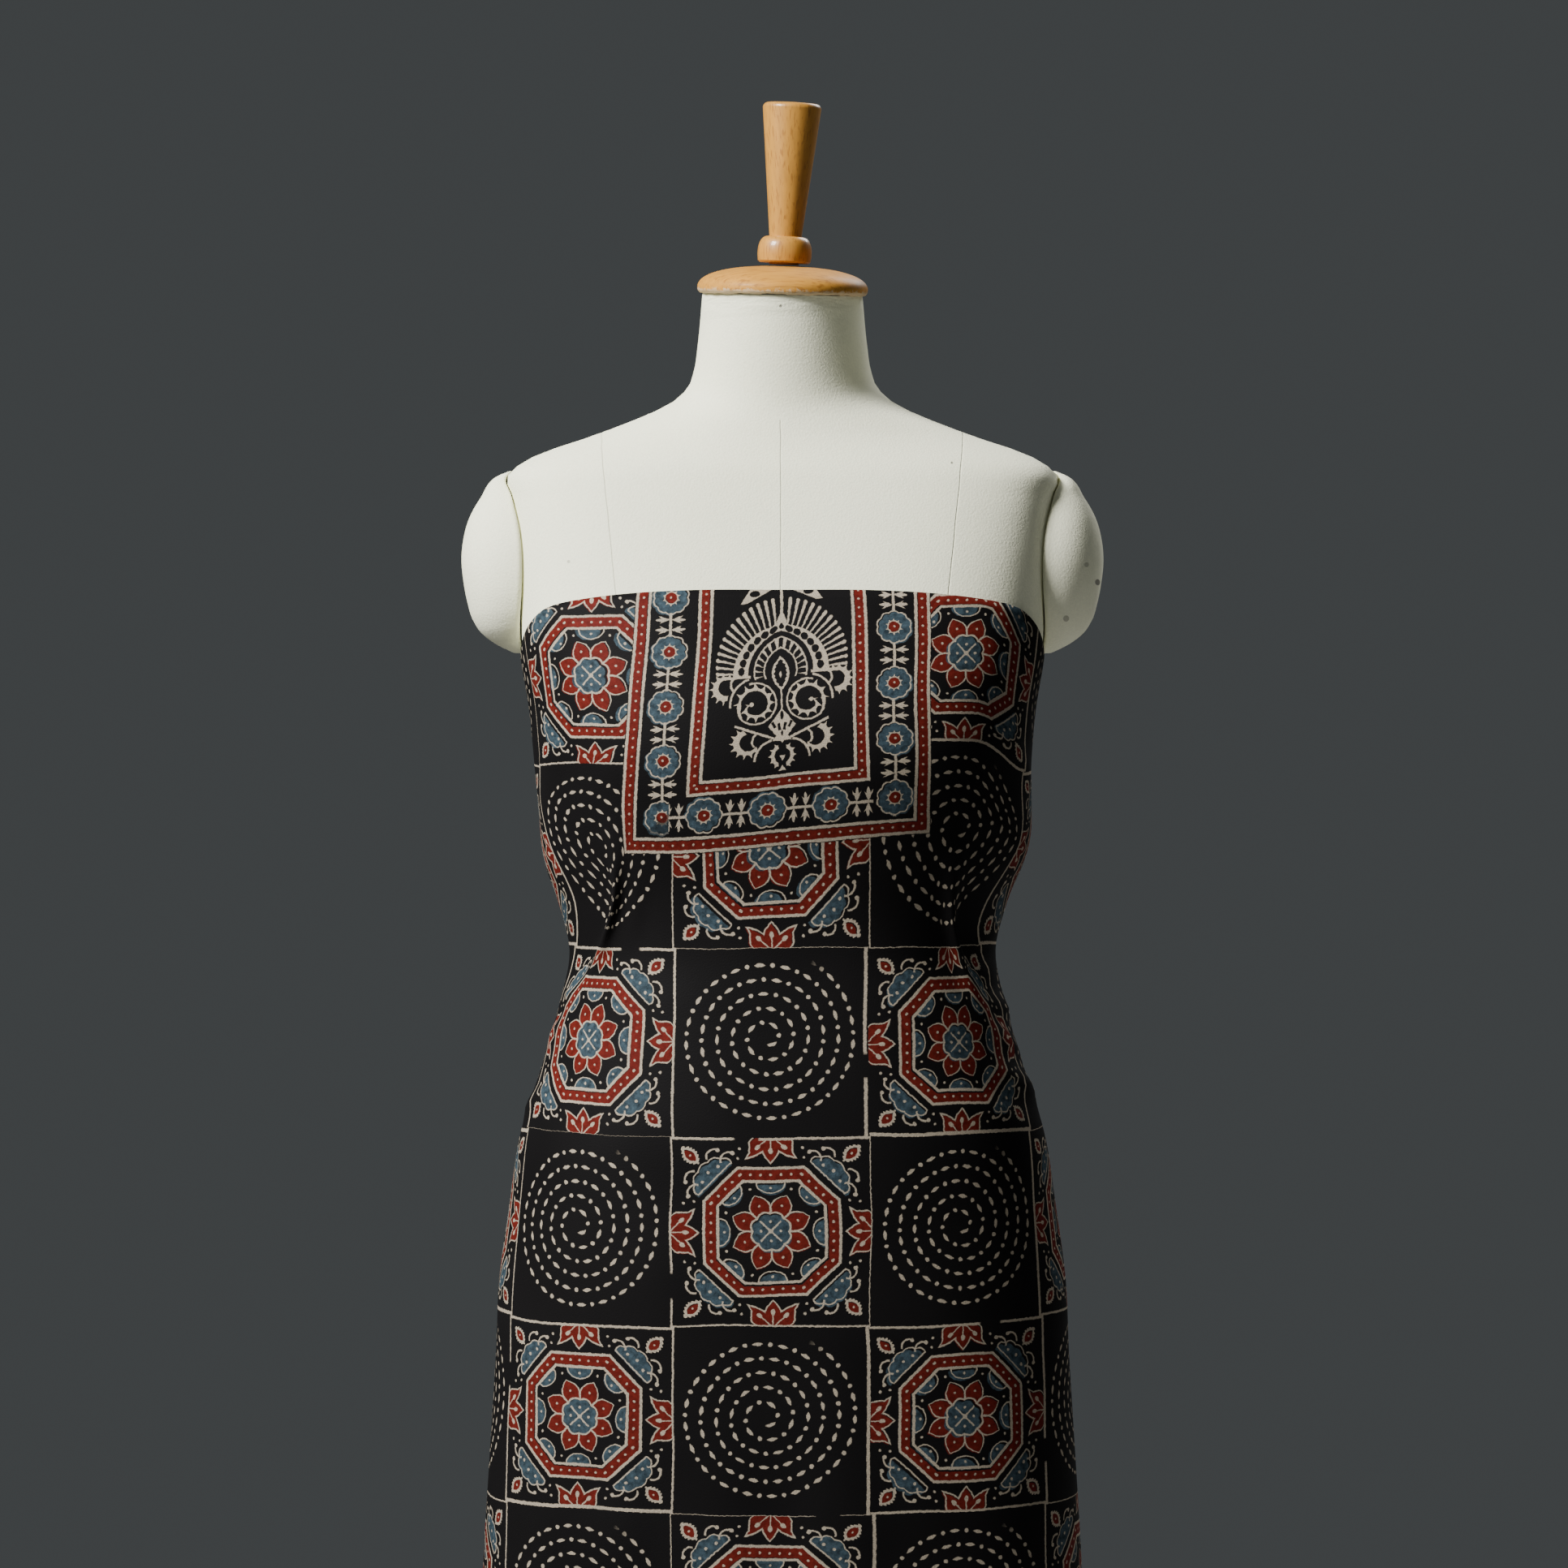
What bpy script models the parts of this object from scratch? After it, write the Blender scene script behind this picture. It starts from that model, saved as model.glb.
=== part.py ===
"""A block-printed cloth wrapped round a canvas dress form on a turned stand.

Metres, +Z up. The origin is the middle of the base's underside, and the form faces -Y.
"""

import math

import bmesh
import bpy
import numpy as np

# Gaps between pieces
SEAT_GAP = 0.0003
PAD_GAP = 0.0008

# Cloth
CLOTH_WIDTH = 1.12
CLOTH_THICKNESS = 0.0015
HEM_HEIGHT = 0.30
TOP_EDGE_HEIGHT = 1.2852
LEVEL_BELOW_TOP_EDGE = 1.19
LAYER_RISE = 0.0027
LAYER_RAMP = 0.040
LAYER_MARGIN = 0.012
FOLD_SPREAD = 3.0

# Stand
BASE_RADIUS = 0.22
BASE_THICKNESS = 0.030
BASE_EDGE = 0.008
BASE_SHOULDER_RADIUS = 0.195
SEAT_RADIUS = 0.062
POLE_RADIUS = 0.016
BOSS_RADIUS = 0.030
BOSS_HEIGHT = 0.012
PLATE_RADIUS = 0.058
PLATE_THICKNESS = 0.006
PLATE_NECK = 0.014

# Neck cap and handle
CAP_RADIUS = 0.0567
CAP_HEIGHT = 0.0185
CAP_RIM = 0.009
CAP_SEAT_RADIUS = 0.012
CAP_PLACE = (0.0, -0.006, 1.4853)
CAP_PITCH_DEG = 6.0
CAP_ROLL_DEG = 1.3
HANDLE_PLACE = (0.001, -0.0080, 1.5045)
HANDLE_PITCH_DEG = 4.5
HANDLE_ROLL_DEG = 3.0
HANDLE_LENGTH = 0.1065
SPINDLE_RADIUS = 0.0100
SPINDLE_GAP = 0.0012
COLLAR_RADIUS = 0.0180
COLLAR_HEIGHT = 0.0175
GRIP_FOOT_RADIUS = 0.0107
GRIP_TOP_RADIUS = 0.0194
GRIP_EDGE = 0.0035

# The form in level sections: height, half width, front reach, back reach, squareness
FORM_SECTIONS = np.array((
    (0.740, 0.1760, 0.1060, 0.1160, 2.3),
    (0.785, 0.1830, 0.1120, 0.1240, 2.3),
    (0.830, 0.1850, 0.1160, 0.1280, 2.3),
    (0.880, 0.1795, 0.1175, 0.1250, 2.3),
    (0.930, 0.1705, 0.1160, 0.1140, 2.3),
    (0.975, 0.1565, 0.1110, 0.1010, 2.3),
    (1.015, 0.1445, 0.1040, 0.0890, 2.3),
    (1.050, 0.1385, 0.0990, 0.0820, 2.3),
    (1.080, 0.1440, 0.1010, 0.0830, 2.3),
    (1.110, 0.1540, 0.1080, 0.0870, 2.4),
    (1.140, 0.1590, 0.1190, 0.0920, 2.5),
    (1.175, 0.1620, 0.1270, 0.0980, 2.6),
    (1.210, 0.1655, 0.1240, 0.1030, 2.7),
    (1.245, 0.1715, 0.1130, 0.1070, 2.9),
    (1.285, 0.1745, 0.0980, 0.1080, 3.0),
    (1.325, 0.1780, 0.0830, 0.1060, 3.0),
    (1.350, 0.1800, 0.0735, 0.1020, 2.9),
    (1.366, 0.1815, 0.0675, 0.0970, 2.6),
    (1.379, 0.1680, 0.0620, 0.0910, 2.2),
    (1.390, 0.1390, 0.0580, 0.0840, 2.0),
    (1.401, 0.1090, 0.0550, 0.0770, 2.0),
    (1.412, 0.0830, 0.0530, 0.0700, 2.0),
    (1.422, 0.0680, 0.0525, 0.0640, 2.0),
    (1.433, 0.0620, 0.0530, 0.0580, 2.0),
    (1.450, 0.0580, 0.0550, 0.0520, 2.0),
    (1.485, 0.0538, 0.0590, 0.0470, 2.0),
))

# How the upper sections tip forwards and to the right: height, pitch, roll in degrees
FORM_TIPS = np.array((
    (1.366, 0.0, 0.0),
    (1.401, 6.0, 0.0),
    (1.433, 12.0, 0.0),
    (1.450, 9.0, 0.4),
    (1.485, CAP_PITCH_DEG, CAP_ROLL_DEG),
))

# The cloth's middle surface in level sections, in the same columns
CLOTH_SECTIONS = np.array((
    (0.300, 0.2045, 0.1180, 0.1280, 2.2),
    (0.500, 0.2015, 0.1190, 0.1290, 2.2),
    (0.640, 0.1985, 0.1200, 0.1300, 2.2),
    (0.740, 0.1925, 0.1210, 0.1310, 2.3),
    (0.785, 0.1898, 0.1212, 0.1315, 2.3),
    (0.830, 0.1878, 0.1214, 0.1318, 2.3),
    (0.880, 0.1812, 0.1212, 0.1290, 2.3),
    (0.930, 0.1732, 0.1200, 0.1180, 2.3),
    (0.975, 0.1588, 0.1165, 0.1050, 2.3),
    (1.015, 0.1475, 0.1115, 0.0935, 2.3),
    (1.050, 0.1411, 0.1070, 0.0880, 2.3),
    (1.080, 0.1480, 0.1085, 0.0880, 2.3),
    (1.110, 0.1580, 0.1140, 0.0915, 2.4),
    (1.140, 0.1612, 0.1225, 0.0955, 2.5),
    (1.175, 0.1643, 0.1290, 0.1004, 2.6),
    (1.210, 0.1677, 0.1260, 0.1052, 2.7),
    (1.245, 0.1733, 0.1148, 0.1088, 2.9),
    (1.285, 0.1763, 0.0998, 0.1098, 3.0),
    (1.325, 0.1798, 0.0848, 0.1078, 3.0),
))

# The cloth's top edge: distance round from the centre front, height
TOP_EDGE = np.array((
    (0.000, 1.2852),
    (0.060, 1.2850),
    (0.106, 1.2825),
    (0.137, 1.2790),
    (0.150, 1.2770),
    (0.163, 1.2735),
    (0.180, 1.2650),
    (0.202, 1.2520),
    (0.215, 1.2450),
    (0.235, 1.2415),
    (0.280, 1.2410),
    (0.560, 1.2410),
))

# Folds: top, fullest and bottom height, distance round at top and bottom, half width, rise, cloth taken in
FOLDS = (
    (1.155, 1.080, 0.985, -0.112, -0.165, 0.013, 0.0050, 0.045),
    (1.140, 1.065, 0.975, 0.114, 0.160, 0.013, 0.0055, 0.040),
    (1.060, 0.300, 0.000, -0.030, -0.040, 0.022, 0.0030, 0.0),
    (1.020, 0.300, 0.000, 0.034, 0.046, 0.026, 0.0040, 0.0),
    (0.860, 0.300, 0.000, -0.150, -0.165, 0.034, 0.0060, 0.0),
    (0.880, 0.300, 0.000, 0.158, 0.150, 0.036, 0.0070, 0.0),
    (0.820, 0.300, 0.000, -0.330, -0.345, 0.040, 0.0080, 0.0),
    (0.840, 0.300, 0.000, 0.345, 0.330, 0.040, 0.0070, 0.0),
)

# Rows of the form, from its foot up: height, steps up to it
FORM_ROWS = ((0.930, 6), (1.245, 16), (1.366, 5))

# Cloth columns, from the centre front outwards: distance round, steps up to it
CLOTH_COLUMNS = ((0.090, 5), (0.190, 10), (CLOTH_WIDTH / 2, 18))

# Cloth rows, from the top edge down: height, steps down to it
CLOTH_ROWS = ((LEVEL_BELOW_TOP_EDGE, 5), (1.150, 2), (0.970, 9), (0.740, 7), (HEM_HEIGHT, 8))

# Arm pads: height, how far the pad stands out, half depth
PAD_SECTIONS = np.array((
    (1.2475, 0.0060, 0.012),
    (1.2520, 0.0150, 0.025),
    (1.2590, 0.0245, 0.036),
    (1.2690, 0.0310, 0.045),
    (1.2810, 0.0340, 0.051),
    (1.2950, 0.0355, 0.054),
    (1.3090, 0.0355, 0.054),
    (1.3230, 0.0330, 0.051),
    (1.3380, 0.0270, 0.044),
    (1.3510, 0.0180, 0.033),
    (1.3600, 0.0100, 0.021),
    (1.3648, 0.0040, 0.009),
))
PAD_CENTRE_Y = 0.010
PAD_EDGE = 0.0015
PAD_SQUARENESS = 2.3
PAD_OUTER_STEPS = 12
PAD_INNER_STEPS = 10

FORM_COLUMNS = 40
ROUND_STEPS = 40
BASE_STEPS = 56
OUTLINE_SAMPLES = 361

# Materials: name, colour, roughness, metallic
CANVAS = ("canvas", (0.75, 0.75, 0.66), 0.85, 0.0)
PRINTED = ("printed cloth", (0.035, 0.03, 0.03), 0.62, 0.0)
BEECH = ("varnished beech", (0.50, 0.27, 0.09), 0.30, 0.0)
STEEL = ("painted steel", (0.05, 0.05, 0.05), 0.40, 0.0)


def clear_scene():
    for thing in list(bpy.data.objects):
        bpy.data.objects.remove(thing)


def material(look):
    """A plain material from a look's name, colour, roughness and metallic value."""
    name, colour, roughness, metallic = look
    made = bpy.data.materials.get(name)
    if made:
        return made
    made = bpy.data.materials.new(name)
    made.use_nodes = True
    shader = made.node_tree.nodes["Principled BSDF"]
    shader.inputs["Base Color"].default_value = (*colour, 1.0)
    shader.inputs["Roughness"].default_value = roughness
    shader.inputs["Metallic"].default_value = metallic
    return made


def add_piece(name, bm, look):
    """A bmesh made into a named, smooth-shaded object."""
    bmesh.ops.recalc_face_normals(bm, faces=bm.faces)
    mesh = bpy.data.meshes.new(name)
    bm.to_mesh(mesh)
    bm.free()
    mesh.shade_smooth()
    mesh.set_sharp_from_angle(angle=math.radians(40))
    mesh.materials.append(material(look))
    piece = bpy.data.objects.new(name, mesh)
    bpy.context.scene.collection.objects.link(piece)
    return piece


def smooth_column(table, column, at):
    """A table's column read from a smooth curve through its rows."""
    places = table[:, 0]
    values = table[:, column]
    slopes = np.gradient(values, places)
    at = np.clip(at, places[0], places[-1])
    row = np.clip(np.searchsorted(places, at) - 1, 0, len(places) - 2)
    span = places[row + 1] - places[row]
    t = (at - places[row]) / span
    start = values[row] * (1 + 2 * t) * (1 - t) ** 2 + slopes[row] * span * t * (1 - t) ** 2
    end = values[row + 1] * t * t * (3 - 2 * t) + slopes[row + 1] * span * t * t * (t - 1)
    return start + end


def eased(t):
    """0 to 1 with soft ends."""
    t = np.clip(t, 0.0, 1.0)
    return t * t * (3 - 2 * t)


def outline(table, height):
    """A level section as points, the distance of each from the centre front, and the distance round."""
    half_width, front, back, squareness = (smooth_column(table, c, height) for c in range(1, 5))
    turn = np.linspace(-math.pi, math.pi, OUTLINE_SAMPLES)
    power = 2.0 / squareness
    x = half_width * np.sign(np.sin(turn)) * np.abs(np.sin(turn)) ** power
    reach = np.where(np.cos(turn) > 0, -front, back)
    y = reach * np.abs(np.cos(turn)) ** power
    steps = np.hypot(np.diff(x), np.diff(y))
    along = np.concatenate(([0.0], np.cumsum(steps)))
    return x, y, along - along[-1] / 2, along[-1]


def point_round(table, height, distance, outwards=0.0):
    """The point at a distance round a level section, moved outwards by an amount."""
    x, y, along, total = outline(table, height)
    distance = (distance + total / 2) % total - total / 2
    step = total / OUTLINE_SAMPLES
    ahead = (distance + step + total / 2) % total - total / 2
    behind = (distance - step + total / 2) % total - total / 2
    here = np.array((np.interp(distance, along, x), np.interp(distance, along, y)))
    run_x = np.interp(ahead, along, x) - np.interp(behind, along, x)
    run_y = np.interp(ahead, along, y) - np.interp(behind, along, y)
    out = np.array((run_y, -run_x)) / max(math.hypot(run_x, run_y), 1e-9)
    return here + out * outwards


def tip(height, x, y):
    """How far a point of the form is raised by its section's tip forwards and to the right."""
    if height <= FORM_TIPS[0, 0]:
        return 0.0
    pitch = math.radians(smooth_column(FORM_TIPS, 1, height))
    roll = math.radians(smooth_column(FORM_TIPS, 2, height))
    centre_y = CAP_PLACE[1]
    return (y - centre_y) * math.tan(pitch) - x * math.tan(roll)


def stops(start, table):
    """Places spread evenly between the stops of a table of ends and steps."""
    places = [start]
    for end, steps in table:
        places += list(np.linspace(places[-1], end, steps + 1)[1:])
    return places


def form_torso():
    """The canvas body from the hip to the neck, closed flat at both ends."""
    bm = bmesh.new()
    heights = stops(FORM_SECTIONS[0, 0], FORM_ROWS)
    heights += [height for height in FORM_SECTIONS[:, 0] if height > heights[-1]]
    bmesh.ops.create_grid(bm, x_segments=FORM_COLUMNS, y_segments=len(heights) - 1, size=0.5)
    for vert in bm.verts:
        height = heights[round((vert.co.y + 0.5) * (len(heights) - 1))]
        total = outline(FORM_SECTIONS, height)[3]
        x, y = point_round(FORM_SECTIONS, height, (vert.co.x % 1.0 - 0.5) * total)
        vert.co = (x, y, height + tip(height, x, y))
    bmesh.ops.remove_doubles(bm, verts=bm.verts, dist=1e-5)
    bmesh.ops.holes_fill(bm, edges=[e for e in bm.edges if e.is_boundary], sides=0)
    add_piece("form_torso", bm, CANVAS)


def form_side(height, y):
    """How far out the form's side is at a height and a depth."""
    half_width, front, back, squareness = (smooth_column(FORM_SECTIONS, c, height) for c in range(1, 5))
    share = abs(y) / (front if y < 0 else back)
    return half_width * (1 - share**squareness) ** (1 / squareness)


def arm_pad(name, side):
    """A stuffed pad on the armhole: its inner face follows the form and its outer face is domed."""
    bm = bmesh.new()
    rings = []
    for height, bulge, half_depth in PAD_SECTIONS:
        ring = []
        for step in range(PAD_OUTER_STEPS + 1):
            across = -math.cos(math.pi * step / PAD_OUTER_STEPS)
            y = PAD_CENTRE_Y + half_depth * across
            dome = max(0.0, 1 - abs(across) ** PAD_SQUARENESS) ** (1 / PAD_SQUARENESS)
            x = form_side(height, y) + PAD_GAP + PAD_EDGE + bulge * dome
            ring.append(bm.verts.new((side * x, y, height)))
        for step in range(PAD_INNER_STEPS + 1):
            y = PAD_CENTRE_Y + half_depth * (1 - 2 * step / PAD_INNER_STEPS)
            ring.append(bm.verts.new((side * (form_side(height, y) + PAD_GAP), y, height)))
        rings.append(ring)
    for lower, upper in zip(rings, rings[1:]):
        for i in range(len(lower)):
            j = (i + 1) % len(lower)
            bm.faces.new((lower[i], lower[j], upper[j], upper[i]))
    bm.faces.new(rings[0])
    bm.faces.new(rings[-1])
    add_piece(name, bm, CANVAS)


def fold_shape(distance, height):
    """How far the folds lift the cloth at a place, and how much cloth they take in up to there."""
    rise = 0.0
    taken = 0.0
    for top, fullest, bottom, start, end, half_width, lift, intake in FOLDS:
        if not bottom < height < top:
            continue
        above = (top - height) / (top - fullest)
        below = (height - bottom) / (fullest - bottom)
        strength = eased(min(above, below))
        middle = start + (end - start) * (top - height) / (top - bottom)
        across = (distance - middle) / half_width
        rise += lift * strength * math.exp(-across * across)
        outwards = across if middle > 0 else -across
        taken += math.copysign(intake, middle) * strength * eased((outwards / FOLD_SPREAD + 1) / 2)
    return rise, taken


def top_edge_height(distance):
    return smooth_column(TOP_EDGE, 1, abs(distance))


def cloth_point(distance, level):
    """Where a point of the flat cloth hangs, from its distance across and the height of its row."""
    height = level
    if level > LEVEL_BELOW_TOP_EDGE:
        share = (level - LEVEL_BELOW_TOP_EDGE) / (TOP_EDGE_HEIGHT - LEVEL_BELOW_TOP_EDGE)
        height = LEVEL_BELOW_TOP_EDGE + share * (top_edge_height(distance) - LEVEL_BELOW_TOP_EDGE)
    rise, taken = fold_shape(distance, height)
    total = outline(CLOTH_SECTIONS, height)[3]
    along = distance - taken
    if distance > 0:
        under_edge = total - (CLOTH_WIDTH / 2 + fold_shape(-CLOTH_WIDTH / 2, height)[1])
        rise += LAYER_RISE * eased((along - under_edge + LAYER_MARGIN + LAYER_RAMP) / LAYER_RAMP)
    x, y = point_round(CLOTH_SECTIONS, height, along, rise)
    return x, y, height


def ajrakh_cloth():
    """One length of cloth wrapped round the form, its right end over its left end at the centre back."""
    outer = stops(0.0, CLOTH_COLUMNS)
    columns = [-place for place in outer[:0:-1]] + outer
    rows = stops(TOP_EDGE_HEIGHT, CLOTH_ROWS)
    bm = bmesh.new()
    bmesh.ops.create_grid(bm, x_segments=len(columns) - 1, y_segments=len(rows) - 1, size=0.5)
    for vert in bm.verts:
        column = round((vert.co.x + 0.5) * (len(columns) - 1))
        row = round((0.5 - vert.co.y) * (len(rows) - 1))
        vert.co = cloth_point(columns[column], rows[row])
    cloth = add_piece("ajrakh_cloth", bm, PRINTED)
    wall = cloth.modifiers.new("Thickness", "SOLIDIFY")
    wall.thickness = CLOTH_THICKNESS
    wall.offset = 0.0


def turned(name, profile, look, steps):
    """A piece turned about its own axis from a profile of radius and height, foot first."""
    bm = bmesh.new()
    verts = [bm.verts.new((radius, 0.0, height)) for radius, height in profile]
    edges = [bm.edges.new(pair) for pair in zip(verts, verts[1:])]
    bmesh.ops.spin(
        bm,
        geom=verts + edges,
        axis=(0, 0, 1),
        cent=(0, 0, 0),
        angle=2 * math.pi,
        steps=steps,
        use_merge=True,
    )
    bmesh.ops.remove_doubles(bm, verts=bm.verts, dist=1e-5)
    return add_piece(name, bm, look)


def arc(centre, radii, start_deg, end_deg, steps):
    """Profile points on a quarter or so of an ellipse."""
    points = []
    for step in range(steps + 1):
        angle = math.radians(start_deg + (end_deg - start_deg) * step / steps)
        points.append((centre[0] + radii[0] * math.cos(angle), centre[1] + radii[1] * math.sin(angle)))
    return points


def place(piece, location, pitch_deg=0.0, roll_deg=0.0):
    piece.location = location
    piece.rotation_euler = (math.radians(pitch_deg), math.radians(roll_deg), 0.0)


def neck_cap():
    """The low domed disc on the neck, tipped a little forwards."""
    rim = arc((CAP_RADIUS - CAP_RIM / 2, CAP_RIM / 2), (CAP_RIM / 2, CAP_RIM / 2), -90, 50, 5)
    dome_foot_radius, dome_foot = rim[-1]
    dome = []
    for step in range(1, 6):
        share = step / 5
        radius = dome_foot_radius + (CAP_SEAT_RADIUS - dome_foot_radius) * share
        dome.append((radius, dome_foot + (CAP_HEIGHT - dome_foot) * math.sin(share * math.pi / 2)))
    cap = turned("neck_cap", [(0.0, 0.0)] + rim + dome + [(0.0, CAP_HEIGHT)], BEECH, ROUND_STEPS)
    place(cap, CAP_PLACE, CAP_PITCH_DEG, CAP_ROLL_DEG)


def handle():
    """The turned handle: a short spindle, a collar and a grip that widens to its rounded top."""
    collar_foot = SPINDLE_GAP
    collar = arc(
        (GRIP_FOOT_RADIUS, collar_foot + COLLAR_HEIGHT * 0.3),
        (COLLAR_RADIUS - GRIP_FOOT_RADIUS, COLLAR_HEIGHT * 0.7),
        0,
        80,
        5,
    )
    collar_edge = (COLLAR_RADIUS - 0.001, collar_foot)
    top_edge = arc(
        (GRIP_TOP_RADIUS - GRIP_EDGE, HANDLE_LENGTH - GRIP_EDGE), (GRIP_EDGE, GRIP_EDGE), 0, 90, 4
    )
    profile = [(0.0, 0.0), (SPINDLE_RADIUS, 0.0), (SPINDLE_RADIUS, collar_foot), collar_edge]
    profile += collar + [(GRIP_FOOT_RADIUS, collar_foot + COLLAR_HEIGHT)] + top_edge
    profile.append((0.0, HANDLE_LENGTH))
    place(turned("handle", profile, BEECH, 28), HANDLE_PLACE, HANDLE_PITCH_DEG, HANDLE_ROLL_DEG)


def stand_pole():
    """The pole, with a boss on the base and a round plate under the form."""
    foot = BASE_THICKNESS + SEAT_GAP
    length = FORM_SECTIONS[0, 0] - SEAT_GAP - foot
    profile = [
        (0.0, 0.0),
        (BOSS_RADIUS, 0.0),
        (BOSS_RADIUS, BOSS_HEIGHT),
        (POLE_RADIUS, BOSS_HEIGHT * 2),
        (POLE_RADIUS, length - PLATE_NECK * 2),
        (POLE_RADIUS * 1.5, length - PLATE_THICKNESS),
        (PLATE_RADIUS, length - PLATE_THICKNESS),
        (PLATE_RADIUS, length),
        (0.0, length),
    ]
    place(turned("stand_pole", profile, STEEL, 28), (0.0, 0.0, foot))


def stand_base():
    """The round base that stands on the floor."""
    lower = arc((BASE_RADIUS - BASE_EDGE, BASE_EDGE), (BASE_EDGE, BASE_EDGE), -90, 0, 3)
    upper_edge = BASE_THICKNESS * 0.72
    upper = arc((BASE_RADIUS - BASE_EDGE, upper_edge - BASE_EDGE), (BASE_EDGE, BASE_EDGE), 0, 80, 3)
    top = [(BASE_SHOULDER_RADIUS, upper_edge), (SEAT_RADIUS, BASE_THICKNESS), (0.0, BASE_THICKNESS)]
    turned("stand_base", [(0.0, 0.0)] + lower + upper + top, BEECH, BASE_STEPS)


clear_scene()
ajrakh_cloth()
form_torso()
arm_pad("arm_pad_left", -1)
arm_pad("arm_pad_right", 1)
neck_cap()
handle()
stand_pole()
stand_base()
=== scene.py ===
"""The looks of a printed cloth wrapped round a dress form: thin cloth, canvas, turned beech and steel."""

import math

import bmesh
import bpy
import numpy as np
from bpy.props import FloatProperty, FloatVectorProperty, PointerProperty
from mathutils import Matrix, Vector
from mathutils import noise as noise_field


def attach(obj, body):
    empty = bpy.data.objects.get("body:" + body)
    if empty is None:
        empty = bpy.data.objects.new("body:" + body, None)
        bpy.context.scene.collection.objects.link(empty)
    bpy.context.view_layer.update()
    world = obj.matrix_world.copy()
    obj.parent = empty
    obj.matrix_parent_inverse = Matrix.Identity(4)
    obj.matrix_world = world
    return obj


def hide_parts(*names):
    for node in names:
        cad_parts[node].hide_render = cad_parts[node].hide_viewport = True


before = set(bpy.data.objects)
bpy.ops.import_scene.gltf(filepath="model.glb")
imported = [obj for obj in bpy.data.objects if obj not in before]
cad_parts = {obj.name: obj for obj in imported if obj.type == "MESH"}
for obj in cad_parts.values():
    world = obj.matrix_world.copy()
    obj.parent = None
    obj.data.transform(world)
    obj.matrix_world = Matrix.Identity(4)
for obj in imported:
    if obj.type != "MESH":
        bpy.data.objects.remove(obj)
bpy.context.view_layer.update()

bl_info = {
    "name": "Printed Cloth on a Form",
    "version": (1, 0, 0),
    "blender": (4, 5, 0),
    "location": "View3D > Sidebar > Printed Cloth",
    "description": "A hand-printed cloth wrapped round a canvas dress form on a turned stand",
    "category": "Add Mesh",
}

# The cloth, in metres
LEVEL_BELOW_TOP_EDGE = 1.19
LAYER_RISE = 0.0027
LAYER_RAMP = 0.040
LAYER_MARGIN = 0.012
FOLD_SPREAD = 3.0
CLOTH_COLUMNS = 240
CLOTH_ROWS = 180

# The form and its pads
PAD_GAP = 0.0008
PAD_EDGE = 0.0009
PAD_CENTRE_Y = 0.010
PAD_SQUARENESS = 2.3
NECK_CENTRE_Y = -0.006
FORM_COLUMNS = 168
FORM_ROW_STEP = 0.006
PAD_ROWS = 56
PAD_STEPS = 64
OUTLINE_SAMPLES = 361

# The neck cap and the handle
CAP_RADIUS = 0.0567
CAP_HEIGHT = 0.0185
CAP_RIM = 0.0060
CAP_SQUARENESS = 2.35
CAP_RAGGED = 0.0009
EDGE_FIBRES = (0.55, 0.42, 0.27)
CAP_PLACE = (0.0, NECK_CENTRE_Y, 1.4853)
CAP_PITCH_DEG = 6.0
CAP_ROLL_DEG = 1.3
HANDLE_PLACE = (0.001, -0.0080, 1.5045)
HANDLE_PITCH_DEG = 4.5
HANDLE_ROLL_DEG = 3.0
HANDLE_LENGTH = 0.1065
SPINDLE_RADIUS = 0.0100
SPINDLE_GAP = 0.0012
COLLAR_RADIUS = 0.0180
COLLAR_HEIGHT = 0.0175
GRIP_FOOT_RADIUS = 0.0107
GRIP_TOP_RADIUS = 0.0194
GRIP_EDGE = 0.0035

# The stand
BASE_RADIUS = 0.22
BASE_THICKNESS = 0.030
BASE_EDGE = 0.008
BASE_SHOULDER_RADIUS = 0.195
SEAT_RADIUS = 0.062
POLE_RADIUS = 0.016
POLE_FOOT = 0.0303
POLE_TOP = 0.7397
BOSS_RADIUS = 0.030
BOSS_HEIGHT = 0.012
PLATE_RADIUS = 0.058
PLATE_THICKNESS = 0.006
PLATE_NECK = 0.014
TURNED_STEPS = 96

# Camera and stage
CAMERA_DISTANCE = 3.294
CAMERA_HEIGHT = 1.16
CAMERA_X = 0.001
CAMERA_LENS_MM = 113.7
FLOOR_RADIUS = 3.4

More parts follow.
